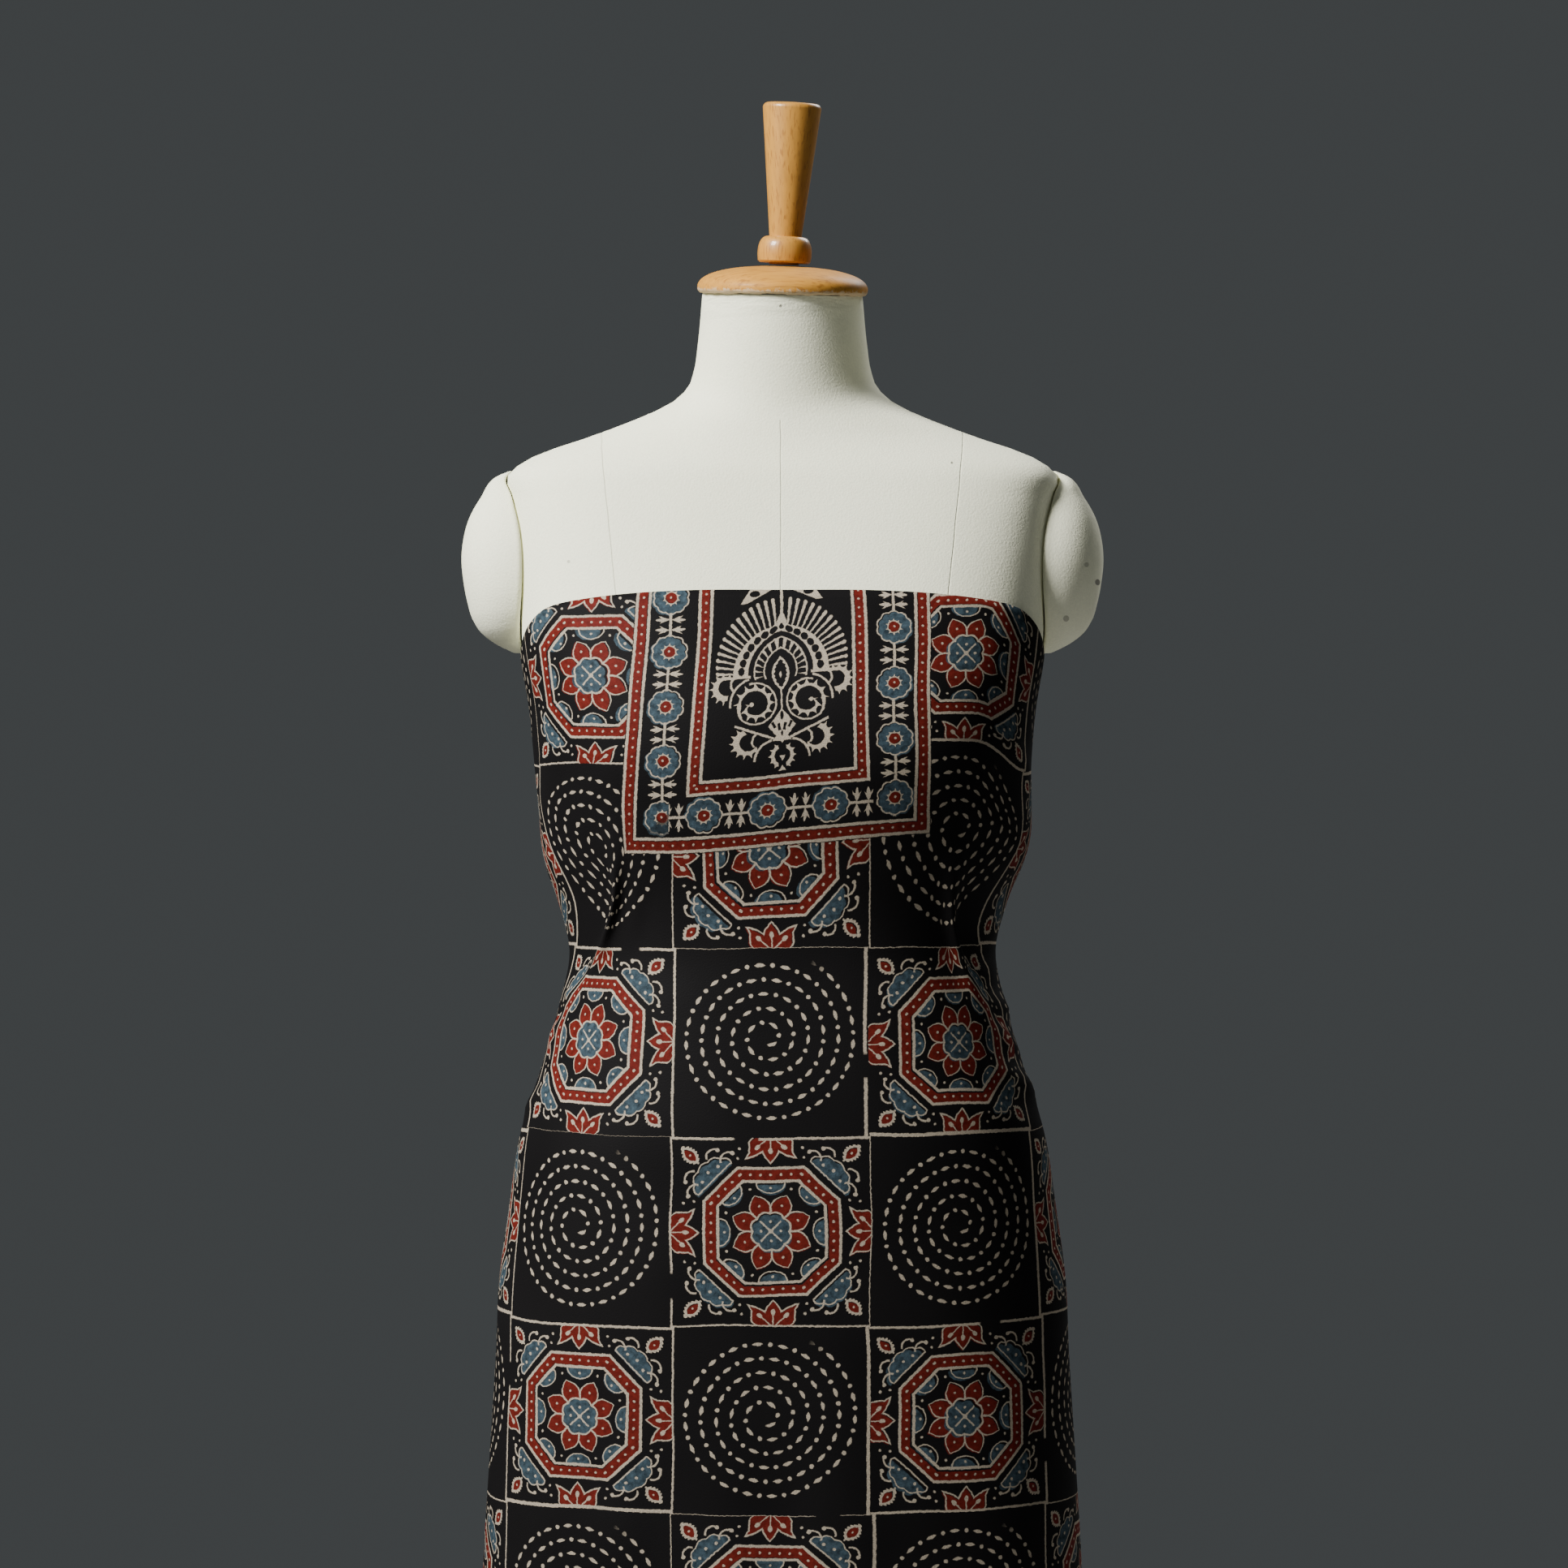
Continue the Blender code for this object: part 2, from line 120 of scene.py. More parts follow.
# The form in level sections: height, half width, front reach, back reach, squareness
FORM_SECTIONS = np.array((
    (0.740, 0.1760, 0.1060, 0.1160, 2.3),
    (0.785, 0.1830, 0.1120, 0.1240, 2.3),
    (0.830, 0.1850, 0.1160, 0.1280, 2.3),
    (0.880, 0.1795, 0.1175, 0.1250, 2.3),
    (0.930, 0.1705, 0.1160, 0.1140, 2.3),
    (0.975, 0.1565, 0.1110, 0.1010, 2.3),
    (1.015, 0.1445, 0.1040, 0.0890, 2.3),
    (1.050, 0.1385, 0.0990, 0.0820, 2.3),
    (1.080, 0.1440, 0.1010, 0.0830, 2.3),
    (1.110, 0.1540, 0.1080, 0.0870, 2.4),
    (1.140, 0.1590, 0.1190, 0.0920, 2.5),
    (1.175, 0.1620, 0.1270, 0.0980, 2.6),
    (1.210, 0.1655, 0.1240, 0.1030, 2.7),
    (1.245, 0.1715, 0.1130, 0.1070, 2.9),
    (1.285, 0.1745, 0.0980, 0.1080, 3.0),
    (1.325, 0.1780, 0.0830, 0.1060, 3.0),
    (1.350, 0.1800, 0.0735, 0.1020, 2.9),
    (1.366, 0.1815, 0.0675, 0.0970, 2.6),
    (1.379, 0.1620, 0.0620, 0.0910, 2.2),
    (1.390, 0.1295, 0.0580, 0.0840, 2.0),
    (1.401, 0.0995, 0.0550, 0.0770, 2.0),
    (1.412, 0.0745, 0.0530, 0.0700, 2.0),
    (1.422, 0.0632, 0.0525, 0.0640, 2.0),
    (1.433, 0.0590, 0.0530, 0.0580, 2.0),
    (1.450, 0.0564, 0.0550, 0.0520, 2.0),
    (1.485, 0.0532, 0.0590, 0.0470, 2.0),
))

# How the upper sections tip forwards and to the right: height, pitch, roll in degrees
FORM_TIPS = np.array((
    (1.366, 0.0, 0.0),
    (1.401, 6.0, 0.0),
    (1.433, 12.0, 0.0),
    (1.450, 9.0, 0.4),
    (1.485, CAP_PITCH_DEG, CAP_ROLL_DEG),
))

# The cloth's middle surface in level sections, in the same columns
CLOTH_SECTIONS = np.array((
    (0.300, 0.2045, 0.1180, 0.1280, 2.2),
    (0.500, 0.2015, 0.1190, 0.1290, 2.2),
    (0.640, 0.1985, 0.1200, 0.1300, 2.2),
    (0.740, 0.1925, 0.1210, 0.1310, 2.3),
    (0.785, 0.1898, 0.1212, 0.1315, 2.3),
    (0.830, 0.1878, 0.1214, 0.1318, 2.3),
    (0.880, 0.1812, 0.1212, 0.1290, 2.3),
    (0.930, 0.1732, 0.1200, 0.1180, 2.3),
    (0.975, 0.1588, 0.1165, 0.1050, 2.3),
    (1.015, 0.1475, 0.1115, 0.0935, 2.3),
    (1.050, 0.1411, 0.1070, 0.0880, 2.3),
    (1.080, 0.1480, 0.1085, 0.0880, 2.3),
    (1.110, 0.1580, 0.1140, 0.0915, 2.4),
    (1.140, 0.1612, 0.1225, 0.0955, 2.5),
    (1.175, 0.1643, 0.1290, 0.1004, 2.6),
    (1.210, 0.1677, 0.1260, 0.1052, 2.7),
    (1.245, 0.1733, 0.1148, 0.1088, 2.9),
    (1.285, 0.1763, 0.0998, 0.1098, 3.0),
    (1.325, 0.1798, 0.0848, 0.1078, 3.0),
))

# The cloth's top edge: distance round from the centre front, height
TOP_EDGE = np.array((
    (0.000, 1.2852),
    (0.060, 1.2850),
    (0.106, 1.2825),
    (0.137, 1.2790),
    (0.150, 1.2770),
    (0.163, 1.2735),
    (0.180, 1.2650),
    (0.202, 1.2520),
    (0.215, 1.2450),
    (0.235, 1.2415),
    (0.280, 1.2410),
    (0.560, 1.2410),
))

# Folds: top, fullest and bottom height, distance round at top and bottom, half width, rise, cloth taken in
FOLDS = (
    (1.155, 1.080, 0.985, -0.112, -0.165, 0.013, 0.0050, 0.045),
    (1.140, 1.065, 0.975, 0.114, 0.160, 0.013, 0.0055, 0.040),
    (1.060, 0.300, 0.000, -0.030, -0.040, 0.022, 0.0030, 0.0),
    (1.020, 0.300, 0.000, 0.034, 0.046, 0.026, 0.0040, 0.0),
    (0.860, 0.300, 0.000, -0.150, -0.165, 0.034, 0.0060, 0.0),
    (0.880, 0.300, 0.000, 0.158, 0.150, 0.036, 0.0070, 0.0),
    (0.820, 0.300, 0.000, -0.330, -0.345, 0.040, 0.0080, 0.0),
    (0.840, 0.300, 0.000, 0.345, 0.330, 0.040, 0.0070, 0.0),
)

# Small crumples of the thin cloth: height, distance round, half height, half width, rise, slope
CRUMPLES = (
    (1.0560, 0.185, 0.0065, 0.030, 0.0016, 0.25),
    (1.0370, 0.178, 0.0075, 0.026, 0.0036, 0.20),
    (1.0140, 0.190, 0.0070, 0.030, 0.0030, -0.10),
    (0.9930, 0.176, 0.0080, 0.028, 0.0028, -0.30),
    (0.9640, 0.190, 0.0075, 0.034, 0.0042, -0.25),
    (0.9470, 0.150, 0.0060, 0.030, 0.0016, -0.25),
    (1.1350, 0.150, 0.0080, 0.035, 0.0020, -0.50),
    (1.1300, 0.205, 0.0300, 0.045, 0.0045, 0.00),
    (1.1800, 0.172, 0.0090, 0.030, 0.0022, -0.45),
    (0.9510, -0.205, 0.0060, 0.030, 0.0026, 0.25),
    (0.9960, -0.190, 0.0080, 0.024, 0.0018, 0.20),
    (1.0230, -0.178, 0.0060, 0.022, 0.0016, 0.10),
    (1.0800, -0.098, 0.0180, 0.006, 0.0014, 2.50),
    (0.6400, 0.020, 0.0500, 0.011, 0.0012, 0.60),
    (0.7050, -0.100, 0.0600, 0.012, 0.0010, -0.40),
)

# Arm pads: height, how far the pad stands out, half depth
PAD_SECTIONS = np.array((
    (1.2475, 0.0060, 0.012),
    (1.2520, 0.0150, 0.025),
    (1.2590, 0.0245, 0.036),
    (1.2690, 0.0310, 0.045),
    (1.2810, 0.0340, 0.051),
    (1.2950, 0.0355, 0.054),
    (1.3090, 0.0355, 0.054),
    (1.3230, 0.0330, 0.051),
    (1.3380, 0.0275, 0.044),
    (1.3510, 0.0190, 0.034),
    (1.3600, 0.0112, 0.024),
    (1.3650, 0.0062, 0.015),
    (1.3683, 0.0015, 0.006),
))

# How the print is pulled up towards the right of the chest, in metres
PULL_UP = 0.014
PULL_FROM = -0.100
PULL_ACROSS = 0.225
PULL_END = 0.5
PULL_FADE = 0.2
PULL_FOOT = 1.045
PULL_RISE = 0.095
CHEST_SLOPE = 0.05
CHEST_HEIGHT = 1.175
RIGHT_DROP = 0.020
RIGHT_FROM = 0.128
RIGHT_ACROSS = 0.055
RIGHT_FOOT = 1.075
RIGHT_RISE = 0.10
RIGHT_END = 0.42
RIGHT_FADE = 0.16

# The print, in millimetres
TILE_WIDTH = 127.5
TILE_HEIGHT = 120.8
TILE_LEFT = -71.25
TILE_FOOT = 691.5
TILE_STRETCH_X = 0.966
TILE_STRETCH_Y = 1.034
FRAME_HALF_LINE = 1.1
FRAME_WIDER = 0.9
FRAME_LOWER = 0.5
FRAME_STRAY = 3.0
LEFT_SHIFT = 9.0
LEFT_RISE = 2.0
FIELD_WAVER = 5.0
YOKE_WAVER = 4.0
EDGE_WAVER = 1.3
HALF_ROOT = math.sqrt(0.5)


class ClothSettings(bpy.types.PropertyGroup):
    """Sizes and dye colours of the cloth."""

    width: FloatProperty(name="Width", description="Loom width of the cloth", default=1.12, unit="LENGTH")
    hem_height: FloatProperty(
        name="Hem height", description="Height of the hem over the floor", default=0.30, unit="LENGTH"
    )
    thickness: FloatProperty(
        name="Thickness", description="Thickness of the cloth", default=0.0008, unit="LENGTH"
    )
    ground: FloatVectorProperty(
        name="Ground", description="Iron black ground", default=(0.0064, 0.0059, 0.0060), subtype="COLOR"
    )
    undyed: FloatVectorProperty(
        name="Undyed", description="Resist lines left undyed", default=(0.395, 0.335, 0.253), subtype="COLOR"
    )
    madder: FloatVectorProperty(
        name="Madder", description="Madder red fills", default=(0.104, 0.0113, 0.0078), subtype="COLOR"
    )
    indigo: FloatVectorProperty(
        name="Indigo", description="Indigo blue fills", default=(0.0345, 0.0550, 0.0680), subtype="COLOR"
    )


class FormSettings(bpy.types.PropertyGroup):
    """Colours of the dress form and its stand."""

    canvas: FloatVectorProperty(
        name="Canvas", description="Off-white canvas", default=(0.93, 0.93, 0.70), subtype="COLOR"
    )
    beech: FloatVectorProperty(
        name="Beech", description="Varnished beech", default=(0.50, 0.232, 0.036), subtype="COLOR"
    )
    beech_dark: FloatVectorProperty(
        name="Beech flecks", description="Darker flecks", default=(0.22, 0.080, 0.014), subtype="COLOR"
    )
    steel: FloatVectorProperty(
        name="Steel", description="Black painted steel", default=(0.018, 0.018, 0.019), subtype="COLOR"
    )


class StageSettings(bpy.types.PropertyGroup):
    """Floor and lights."""

    floor: FloatVectorProperty(
        name="Floor", description="Pale floor", default=(0.47, 0.465, 0.455), subtype="COLOR"
    )
    surround: FloatVectorProperty(
        name="Surround", description="Even light all round", default=(0.055, 0.060, 0.062), subtype="COLOR"
    )
    key_power: FloatProperty(
        name="Key", description="Power of the key light", default=47.0, unit="POWER"
    )
    back_power: FloatProperty(
        name="Back", description="Power of the light behind", default=80.0, unit="POWER"
    )
    fill_power: FloatProperty(
        name="Fill", description="Power of the fill light", default=3.0, unit="POWER"
    )


class Num:
    """A number that shader nodes work out, so that a pattern is written as a formula."""

    def __init__(self, tree, socket):
        self.tree = tree
        self.socket = socket

    def __add__(self, other):
        return calc("ADD", self, other)

    __radd__ = __add__

    def __sub__(self, other):
        return calc("SUBTRACT", self, other)

    def __rsub__(self, other):
        return calc("SUBTRACT", other, self)

    def __mul__(self, other):
        return calc("MULTIPLY", self, other)

    __rmul__ = __mul__

    def __truediv__(self, other):
        return calc("DIVIDE", self, other)

    def __abs__(self):
        return calc("ABSOLUTE", self)


def plug(tree, socket, value):
    """Sets a socket to a value, or links it to a number or another socket."""
    if isinstance(value, Num):
        tree.links.new(value.socket, socket)
    elif isinstance(value, bpy.types.NodeSocket):
        tree.links.new(value, socket)
    else:
        socket.default_value = value


def calc(operation, *values, clamp=False):
    """A Math node on numbers and plain values."""
    tree = next(value.tree for value in values if isinstance(value, Num))
    node = tree.nodes.new("ShaderNodeMath")
    node.operation = operation
    node.use_clamp = clamp
    for socket, value in zip(node.inputs, values):
        plug(tree, socket, value)
    return Num(tree, node.outputs[0])


def low(*values):
    """The smallest of some numbers."""
    result = values[0]
    for value in values[1:]:
        result = calc("MINIMUM", result, value)
    return result


def high(*values):
    """The largest of some numbers."""
    result = values[0]
    for value in values[1:]:
        result = calc("MAXIMUM", result, value)
    return result


def times_plus(a, b, c):
    """a times b, plus c."""
    return calc("MULTIPLY_ADD", a, b, c)


def ramp(value, start, end):
    """0 at start and 1 at end, clamped, in a straight line between them."""
    run = end - start
    return calc("MULTIPLY_ADD", value, 1.0 / run, -start / run, clamp=True)


def over(inside, soft=0.4):
    """1 where a measure in millimetres is over 0, with a soft edge."""
    return calc("MULTIPLY_ADD", inside, 1.0 / soft, 0.5, clamp=True)


def span(x, y):
    """How far a point is from the origin."""
    tree = x.tree if isinstance(x, Num) else y.tree
    joined = tree.nodes.new("ShaderNodeCombineXYZ")
    plug(tree, joined.inputs[0], x)
    plug(tree, joined.inputs[1], y)
    length = tree.nodes.new("ShaderNodeVectorMath")
    length.operation = "LENGTH"
    tree.links.new(joined.outputs[0], length.inputs[0])
    return Num(tree, length.outputs["Value"])


def blend(a, b, share):
    """a where share is 0 and b where it is 1."""
    return times_plus(b - a, share, a)


def noise(tree, vector, scale, detail=2.0, roughness=0.5):
    """A noise texture's value and colour."""
    node = tree.nodes.new("ShaderNodeTexNoise")
    node.inputs["Scale"].default_value = scale
    node.inputs["Detail"].default_value = detail
    node.inputs["Roughness"].default_value = roughness
    tree.links.new(vector, node.inputs["Vector"])
    return Num(tree, node.outputs["Fac"]), node.outputs["Color"]


def channels(tree, colour):
    """A colour's three channels, from -0.5 to 0.5."""
    node = tree.nodes.new("ShaderNodeSeparateColor")
    tree.links.new(colour, node.inputs[0])
    red, green, blue = (Num(tree, socket) - 0.5 for socket in node.outputs[:3])
    return red, green, blue


def mix_colour(tree, share, a, b):
    """A colour between two colours."""
    node = tree.nodes.new("ShaderNodeMix")
    node.data_type = "RGBA"
    plug(tree, node.inputs["Factor"], share)
    for socket, value in zip((node.inputs[6], node.inputs[7]), (a, b)):
        plug(tree, socket, value if isinstance(value, (Num, bpy.types.NodeSocket)) else (*value, 1.0))
    return node.outputs[2]


def scaled(colour, factor):
    """A colour made darker or paler, with no channel over 1."""
    return [min(channel * factor, 1.0) for channel in colour]


def new_material(name, roughness, specular=0.5):
    """An empty node material with its shader."""
    made = bpy.data.materials.new(name)
    made.use_nodes = True
    tree = made.node_tree
    shader = tree.nodes["Principled BSDF"]
    shader.inputs["Roughness"].default_value = roughness
    shader.inputs["Specular IOR Level"].default_value = specular
    return made, tree, shader


def add_bump(tree, shader, height, distance, strength):
    """A bump on a shader from a height of 0 to 1."""
    node = tree.nodes.new("ShaderNodeBump")
    node.inputs["Strength"].default_value = strength
    node.inputs["Distance"].default_value = distance
    plug(tree, node.inputs["Height"], height)
    tree.links.new(node.outputs["Normal"], shader.inputs["Normal"])


# How far the dyes creep into the resist lines, in millimetres
CREEP = 0.13


class Block:
    """One carved block of a printed motif: its lines stay undyed, or its fills take one dye."""

    def __init__(self, dye):
        self.dye = dye
        self.mask = None

    def put(self, mask):
        self.mask = mask if self.mask is None else high(self.mask, mask)

    def shape(self, inside, dye, line):
        """A shape with an undyed outline round a dyed fill."""
        if self.dye == "undyed":
            self.put(over(low(inside, line - inside) - CREEP))
        elif self.dye == dye:
            self.put(over(inside - line * 0.5))

    def mark(self, inside):
        """A spot or line left undyed."""
        if self.dye == "undyed":
            self.put(over(inside - CREEP))

    def cut(self, inside):
        """A hole in what has been printed so far."""
        if self.dye == "undyed" and self.mask is not None:
            self.mask = low(self.mask, 1.0 - over(inside))


def beaded_band(block, depth, along, line, width, pitch, dot):
    """A red band with an undyed line on each side and a row of dots, by the depth inside its outer edge."""
    if block.dye == "undyed":
        block.mark(low(depth, line - depth))
        block.mark(low(depth - width + line, width - depth))
        step = along / pitch
        beside = (step - calc("ROUND", step)) * pitch
        block.mark(dot - span(beside, depth - width / 2))
    elif block.dye == "madder":
        block.put(over(low(depth - line * 0.6, width - line - 0.4 - depth)))


OCTAGON_HALF = 43.0
OCTAGON_SLANT = 45.4
OCTAGON_LINE = 2.0
OCTAGON_BAND = 10.7
OCTAGON_DOT_PITCH = 6.3
OCTAGON_DOT = 0.95
LOTUS_FOOT = 62.0

# Half of the angle between two of the eight petals
PETAL_COSINE = 0.9239
PETAL_SINE = 0.3827


def octagon_tile(block, x, y):
    """The framed octagon with its rosette, corner flowers and half lotuses, folded eight ways."""
    wide = abs(x)
    tall = abs(y)
    major = high(wide, tall)
    minor = low(wide, tall)
    diagonal = (major + minor) * HALF_ROOT
    across = (major - minor) * HALF_ROOT
    flat_depth = OCTAGON_HALF - major
    slant_depth = OCTAGON_SLANT - diagonal
    depth = low(flat_depth, slant_depth)
    on_slant = calc("LESS_THAN", slant_depth, flat_depth)
    along = blend(minor, across, on_slant)
    beaded_band(block, depth, along, OCTAGON_LINE, OCTAGON_BAND, OCTAGON_DOT_PITCH, OCTAGON_DOT)
    moons(block, depth - OCTAGON_BAND, along, on_slant)
    rosette(block, x, y, major, minor, across)
    corner_flower(block, diagonal, across, major, minor)
    half_lotus(block, minor, LOTUS_FOOT - major)
    block.mark(0.95 - span(major - 28.0, minor - 12.6))


def moons(block, rise, along, on_slant):
    """Blue half moons on the inner sides of the octagon."""
    if block.dye == "madder":
        return
    moon = times_plus(on_slant, -1.1, 9.4) - span(along, rise * 1.32)
    block.shape(low(moon, rise + 1.0), "indigo", 1.15)
    block.mark(0.95 - span(along, rise - 3.1))


def rosette(block, x, y, major, minor, across):
    """Eight red petals round a blue flower of four hearts."""
    radius = span(x, y)
    angle = calc("ARCTAN2", minor, major)
    edge = times_plus(calc("SINE", angle * 4.0), 1.4, 12.0)
    if block.dye != "indigo":
        out = major * PETAL_COSINE + minor * PETAL_SINE
        beside = abs(minor * PETAL_COSINE - major * PETAL_SINE)
        taper = high(out - 17.0, 0.0) / 9.0
        half_petal = times_plus(taper * taper, -6.8, 6.8)
        petal = low(half_petal - beside, minor + 0.4, across + 0.4, radius - edge + 1.0)
        block.shape(petal, "madder", 1.15)
        block.mark(0.9 - span(out - 18.0, beside))
    block.shape(edge - radius, "indigo", 1.3)
    block.mark(low(0.65 - across, 9.3 - radius))
    block.mark(1.0 - span(major - 6.2, minor))
    block.mark(1.6 - radius)


def corner_flower(block, diagonal, across, major, minor):
    """A blue half flower facing the slanted side, with a red bud at the corner and curled tendrils."""
    rise = diagonal - 49.2
    if block.dye != "madder":
        angle = calc("ARCTAN2", rise * 1.22, across)
        scallop = abs(calc("SINE", angle * 5.0))
        flower = times_plus(scallop, 1.5, 14.9) - span(across, rise * 1.22)
        block.shape(low(flower, rise), "indigo", 1.2)
        block.mark(1.15 - span(across, rise - 6.4))
        block.mark(1.15 - span(across - 7.2, rise - 4.6))
    if block.dye != "indigo":
        reach = diagonal - 71.3
        bud = times_plus(reach * reach, -0.085, 4.5) - across
        core = times_plus(reach * reach, -0.12, 3.1) - across
        if block.dye == "madder":
            block.put(over(core))
        else:
            teeth = abs(calc("SINE", diagonal * 1.55)) * 1.2
            block.put(over(low(bud + teeth - 0.6, 0.2 - core)))
            block.mark(0.8 - span(across, reach))
    if block.dye == "undyed":
        # Tendrils: centre across and up, radius
        for centre_x, centre_y, radius in ((35.0, 49.2, 5.2), (26.0, 47.0, 5.5)):
            beside = minor - centre_x
            above = major - centre_y
            ring = 0.7 - abs(span(beside, above) - radius)
            block.mark(low(ring, above + radius * 0.25, beside + radius * 0.3))
            block.mark(1.45 - span(beside + radius * 0.35, above - radius * 0.9))


def half_lotus(block, beside, height):
    """A half lotus of three joined red petals that stands on the frame, with a stemmed drop in each."""
    if block.dye == "indigo":
        return
    foot = high(3.5 - height, 0.0)
    flare = high(height - 9.8, 0.0)
    outer = times_plus(foot * foot, -0.22, 14.0) + flare * 0.55 - beside
    run = beside - 5.2
    under = times_plus(run, 0.75, 9.6) - run * run * 0.028 - height
    upper = calc("POWER", high(height - 8.0, 0.0) / 9.4, 1.5)
    middle = (times_plus(upper, -6.0, 6.0) - beside) * 0.85
    block.shape(low(high(low(outer, under * 0.85), middle), height + 1.5), "madder", 1.2)
    if block.dye != "undyed":
        return
    block.mark(1.5 - span(beside, (height - 8.6) * 0.68))
    block.mark(low(0.5 - beside, 8.0 - height))
    step = beside - 1.5
    off = times_plus(height, -0.728, step * 0.685)
    along = times_plus(height, 0.685, step * 0.728)
    block.mark(1.5 - span(off, (along - 9.2) * 0.68))
    block.mark(low(0.5 - abs(off), 8.0 - along, step + 1.0))
    block.mark(1.0 - span(beside - 19.6, height - 7.3))
    block.mark(0.95 - span(beside - 20.6, height - 13.7))


TURN_SPACING = 9.5
TURN_PHASE = 0.783
FIRST_TURN = 0.55
LAST_TURN = 5.93
MARK_PITCH = 7.8
SPIRAL_LEFT = 2.5
SPIRAL_RAISED = 3.2


def spiral_tile(x, y):
    """A spiral of dots and pointed dashes by turns, as one undyed mask."""
    x = x + SPIRAL_LEFT
    y = y - SPIRAL_RAISED
    radius = span(x, y)
    turned = calc("ARCTAN2", y, x) / math.tau + TURN_PHASE
    turn = turned + calc("ROUND", radius / TURN_SPACING - turned)
    beside = radius - turn * TURN_SPACING
    count = turn * turn * (math.pi * TURN_SPACING / MARK_PITCH)
    index = calc("FLOOR", count)
    along = (count - index - 0.5) * MARK_PITCH
    dot = 1.5 - span(along, beside)
    dash = 1.3 - abs(beside) - along * along * 0.105
    inside = blend(dot, dash, calc("MODULO", index, 2.0))
    return over(low(inside - CREEP, (turn - FIRST_TURN) * 9.0, (LAST_TURN - turn) * 9.0))


# How far each dye's block is set off the lines, in millimetres: across, up, spread by tile
DYE_OFFSETS = {"undyed": (0.0, 0.0, 0.0), "madder": (0.35, 0.3, 1.6), "indigo": (0.7, 0.5, 3.6)}


def dice(tree, a, b):
    """Three even random numbers from -0.5 to 0.5 for a pair of whole numbers."""
    place = tree.nodes.new("ShaderNodeCombineXYZ")
    plug(tree, place.inputs[0], a)
    plug(tree, place.inputs[1], b)
    chance = tree.nodes.new("ShaderNodeTexWhiteNoise")
    chance.noise_dimensions = "2D"
    tree.links.new(place.outputs[0], chance.inputs["Vector"])
    return channels(tree, chance.outputs["Color"])


def frame_lines(tree, x, y, column_at, row_at, column, row, is_octagon):
    """Each octagon's own frame, a little wider than its cell and lower, with a gap here and there."""
    side, side_gap, side_worn = dice(tree, calc("ROUND", column_at) + 0.5, row)
    level, level_gap, level_worn = dice(tree, column, calc("ROUND", row_at) + 0.5)
    beside = abs(x) - (TILE_WIDTH / 2 - FRAME_WIDER) + side * FRAME_STRAY
    above = abs(y) - (TILE_HEIGHT / 2 - FRAME_LOWER) + level * FRAME_STRAY
    line = FRAME_HALF_LINE - abs(blend(beside, above, is_octagon))
    along = blend(y, x, is_octagon)
    gap_at = blend(side_gap, level_gap, is_octagon) * 104.0
    whole = calc("LESS_THAN", blend(side_worn, level_worn, is_octagon), 0.26)
    return over(line) * high(over(abs(along - gap_at) - 8.0, 1.5), whole)


def field_print(tree, u, v, warp):
    """The checkerboard of octagons and spirals: the three masks."""
    slow_x, slow_y, _ = channels(tree, warp)
    # The blocks beside the yoke on the left were set down a little to the right
    beside = ramp(u, -66.0, -96.0) * ramp(u, -450.0, -300.0) * ramp(v, 1150.0, 1180.0)
    u = times_plus(slow_x, FIELD_WAVER, u - beside * LEFT_SHIFT)
    v = times_plus(slow_y, FIELD_WAVER, v + beside * LEFT_RISE)
    column_at = (u - TILE_LEFT) / TILE_WIDTH
    row_at = (v - TILE_FOOT) / TILE_HEIGHT
    column = calc("FLOOR", column_at)
    row = calc("FLOOR", row_at)
    x = (column_at - column - 0.5) * TILE_WIDTH
    y = (row_at - row - 0.5) * TILE_HEIGHT
    is_octagon = calc("MODULO", abs(column + row), 2.0)
    lines = frame_lines(tree, x, y, column_at, row_at, column, row, is_octagon)
    shift_x, shift_y, twist = dice(tree, column, row)
    x = x * TILE_STRETCH_X
    y = y * TILE_STRETCH_Y
    twist = twist * 0.03
    turned_x = times_plus(shift_x, 1.6, times_plus(twist, y, x))
    turned_y = times_plus(shift_y, 1.6, y - twist * x)
    masks = {}
    for dye, (across, up, spread) in DYE_OFFSETS.items():
        block = Block(dye)
        tile_x = turned_x if dye == "undyed" else times_plus(shift_y, spread, turned_x + across)
        tile_y = turned_y if dye == "undyed" else times_plus(twist, spread * 30.0, turned_y + up)
        octagon_tile(block, tile_x, tile_y)
        masks[dye] = block.mask * is_octagon
    spiral = spiral_tile(turned_x, turned_y) * (1.0 - is_octagon)
    masks["undyed"] = high(masks["undyed"], spiral, lines)
    return masks


# The yoke panel, in millimetres from its foot and its middle line
YOKE_FOOT = 1115.3
YOKE_MIDDLE = -3.2
YOKE_LEAN = 0.0165
YOKE_TAPER = 0.00041
YOKE_FOOT_SHARE = 1.083
YOKE_HALF = 90.0
YOKE_LINE = 2.1
YOKE_BAND = 10.2
YOKE_DOT = 0.85
YOKE_DOT_PITCH = 6.3
INNER_DOT_PITCH = 6.1
INNER_HALF = 55.7
INNER_LEAN = -0.0145
INNER_FOOT = 35.6
INNER_BAND = 9.6
FLOWER_COLUMN = 70.3
FLOWER_ROW = 22.8
LEFT_PITCH = 36.6
ROW_PITCH = 37.9
ROW_MIDDLE = 6.1
CREST_HEIGHT = 112.8
CREST_STRETCH = 1.045
CREST_MIDDLE = 0.7

# The faces that carry the panel's material: how far across, and from which height, in metres
YOKE_REACH = 0.16
YOKE_FROM = 1.06

# Angles between the parts of the crest's arch, in radians
FEATHER_PITCH = 0.1065
BEAD_PITCH = 0.2115
SLOT_PITCH = 0.257


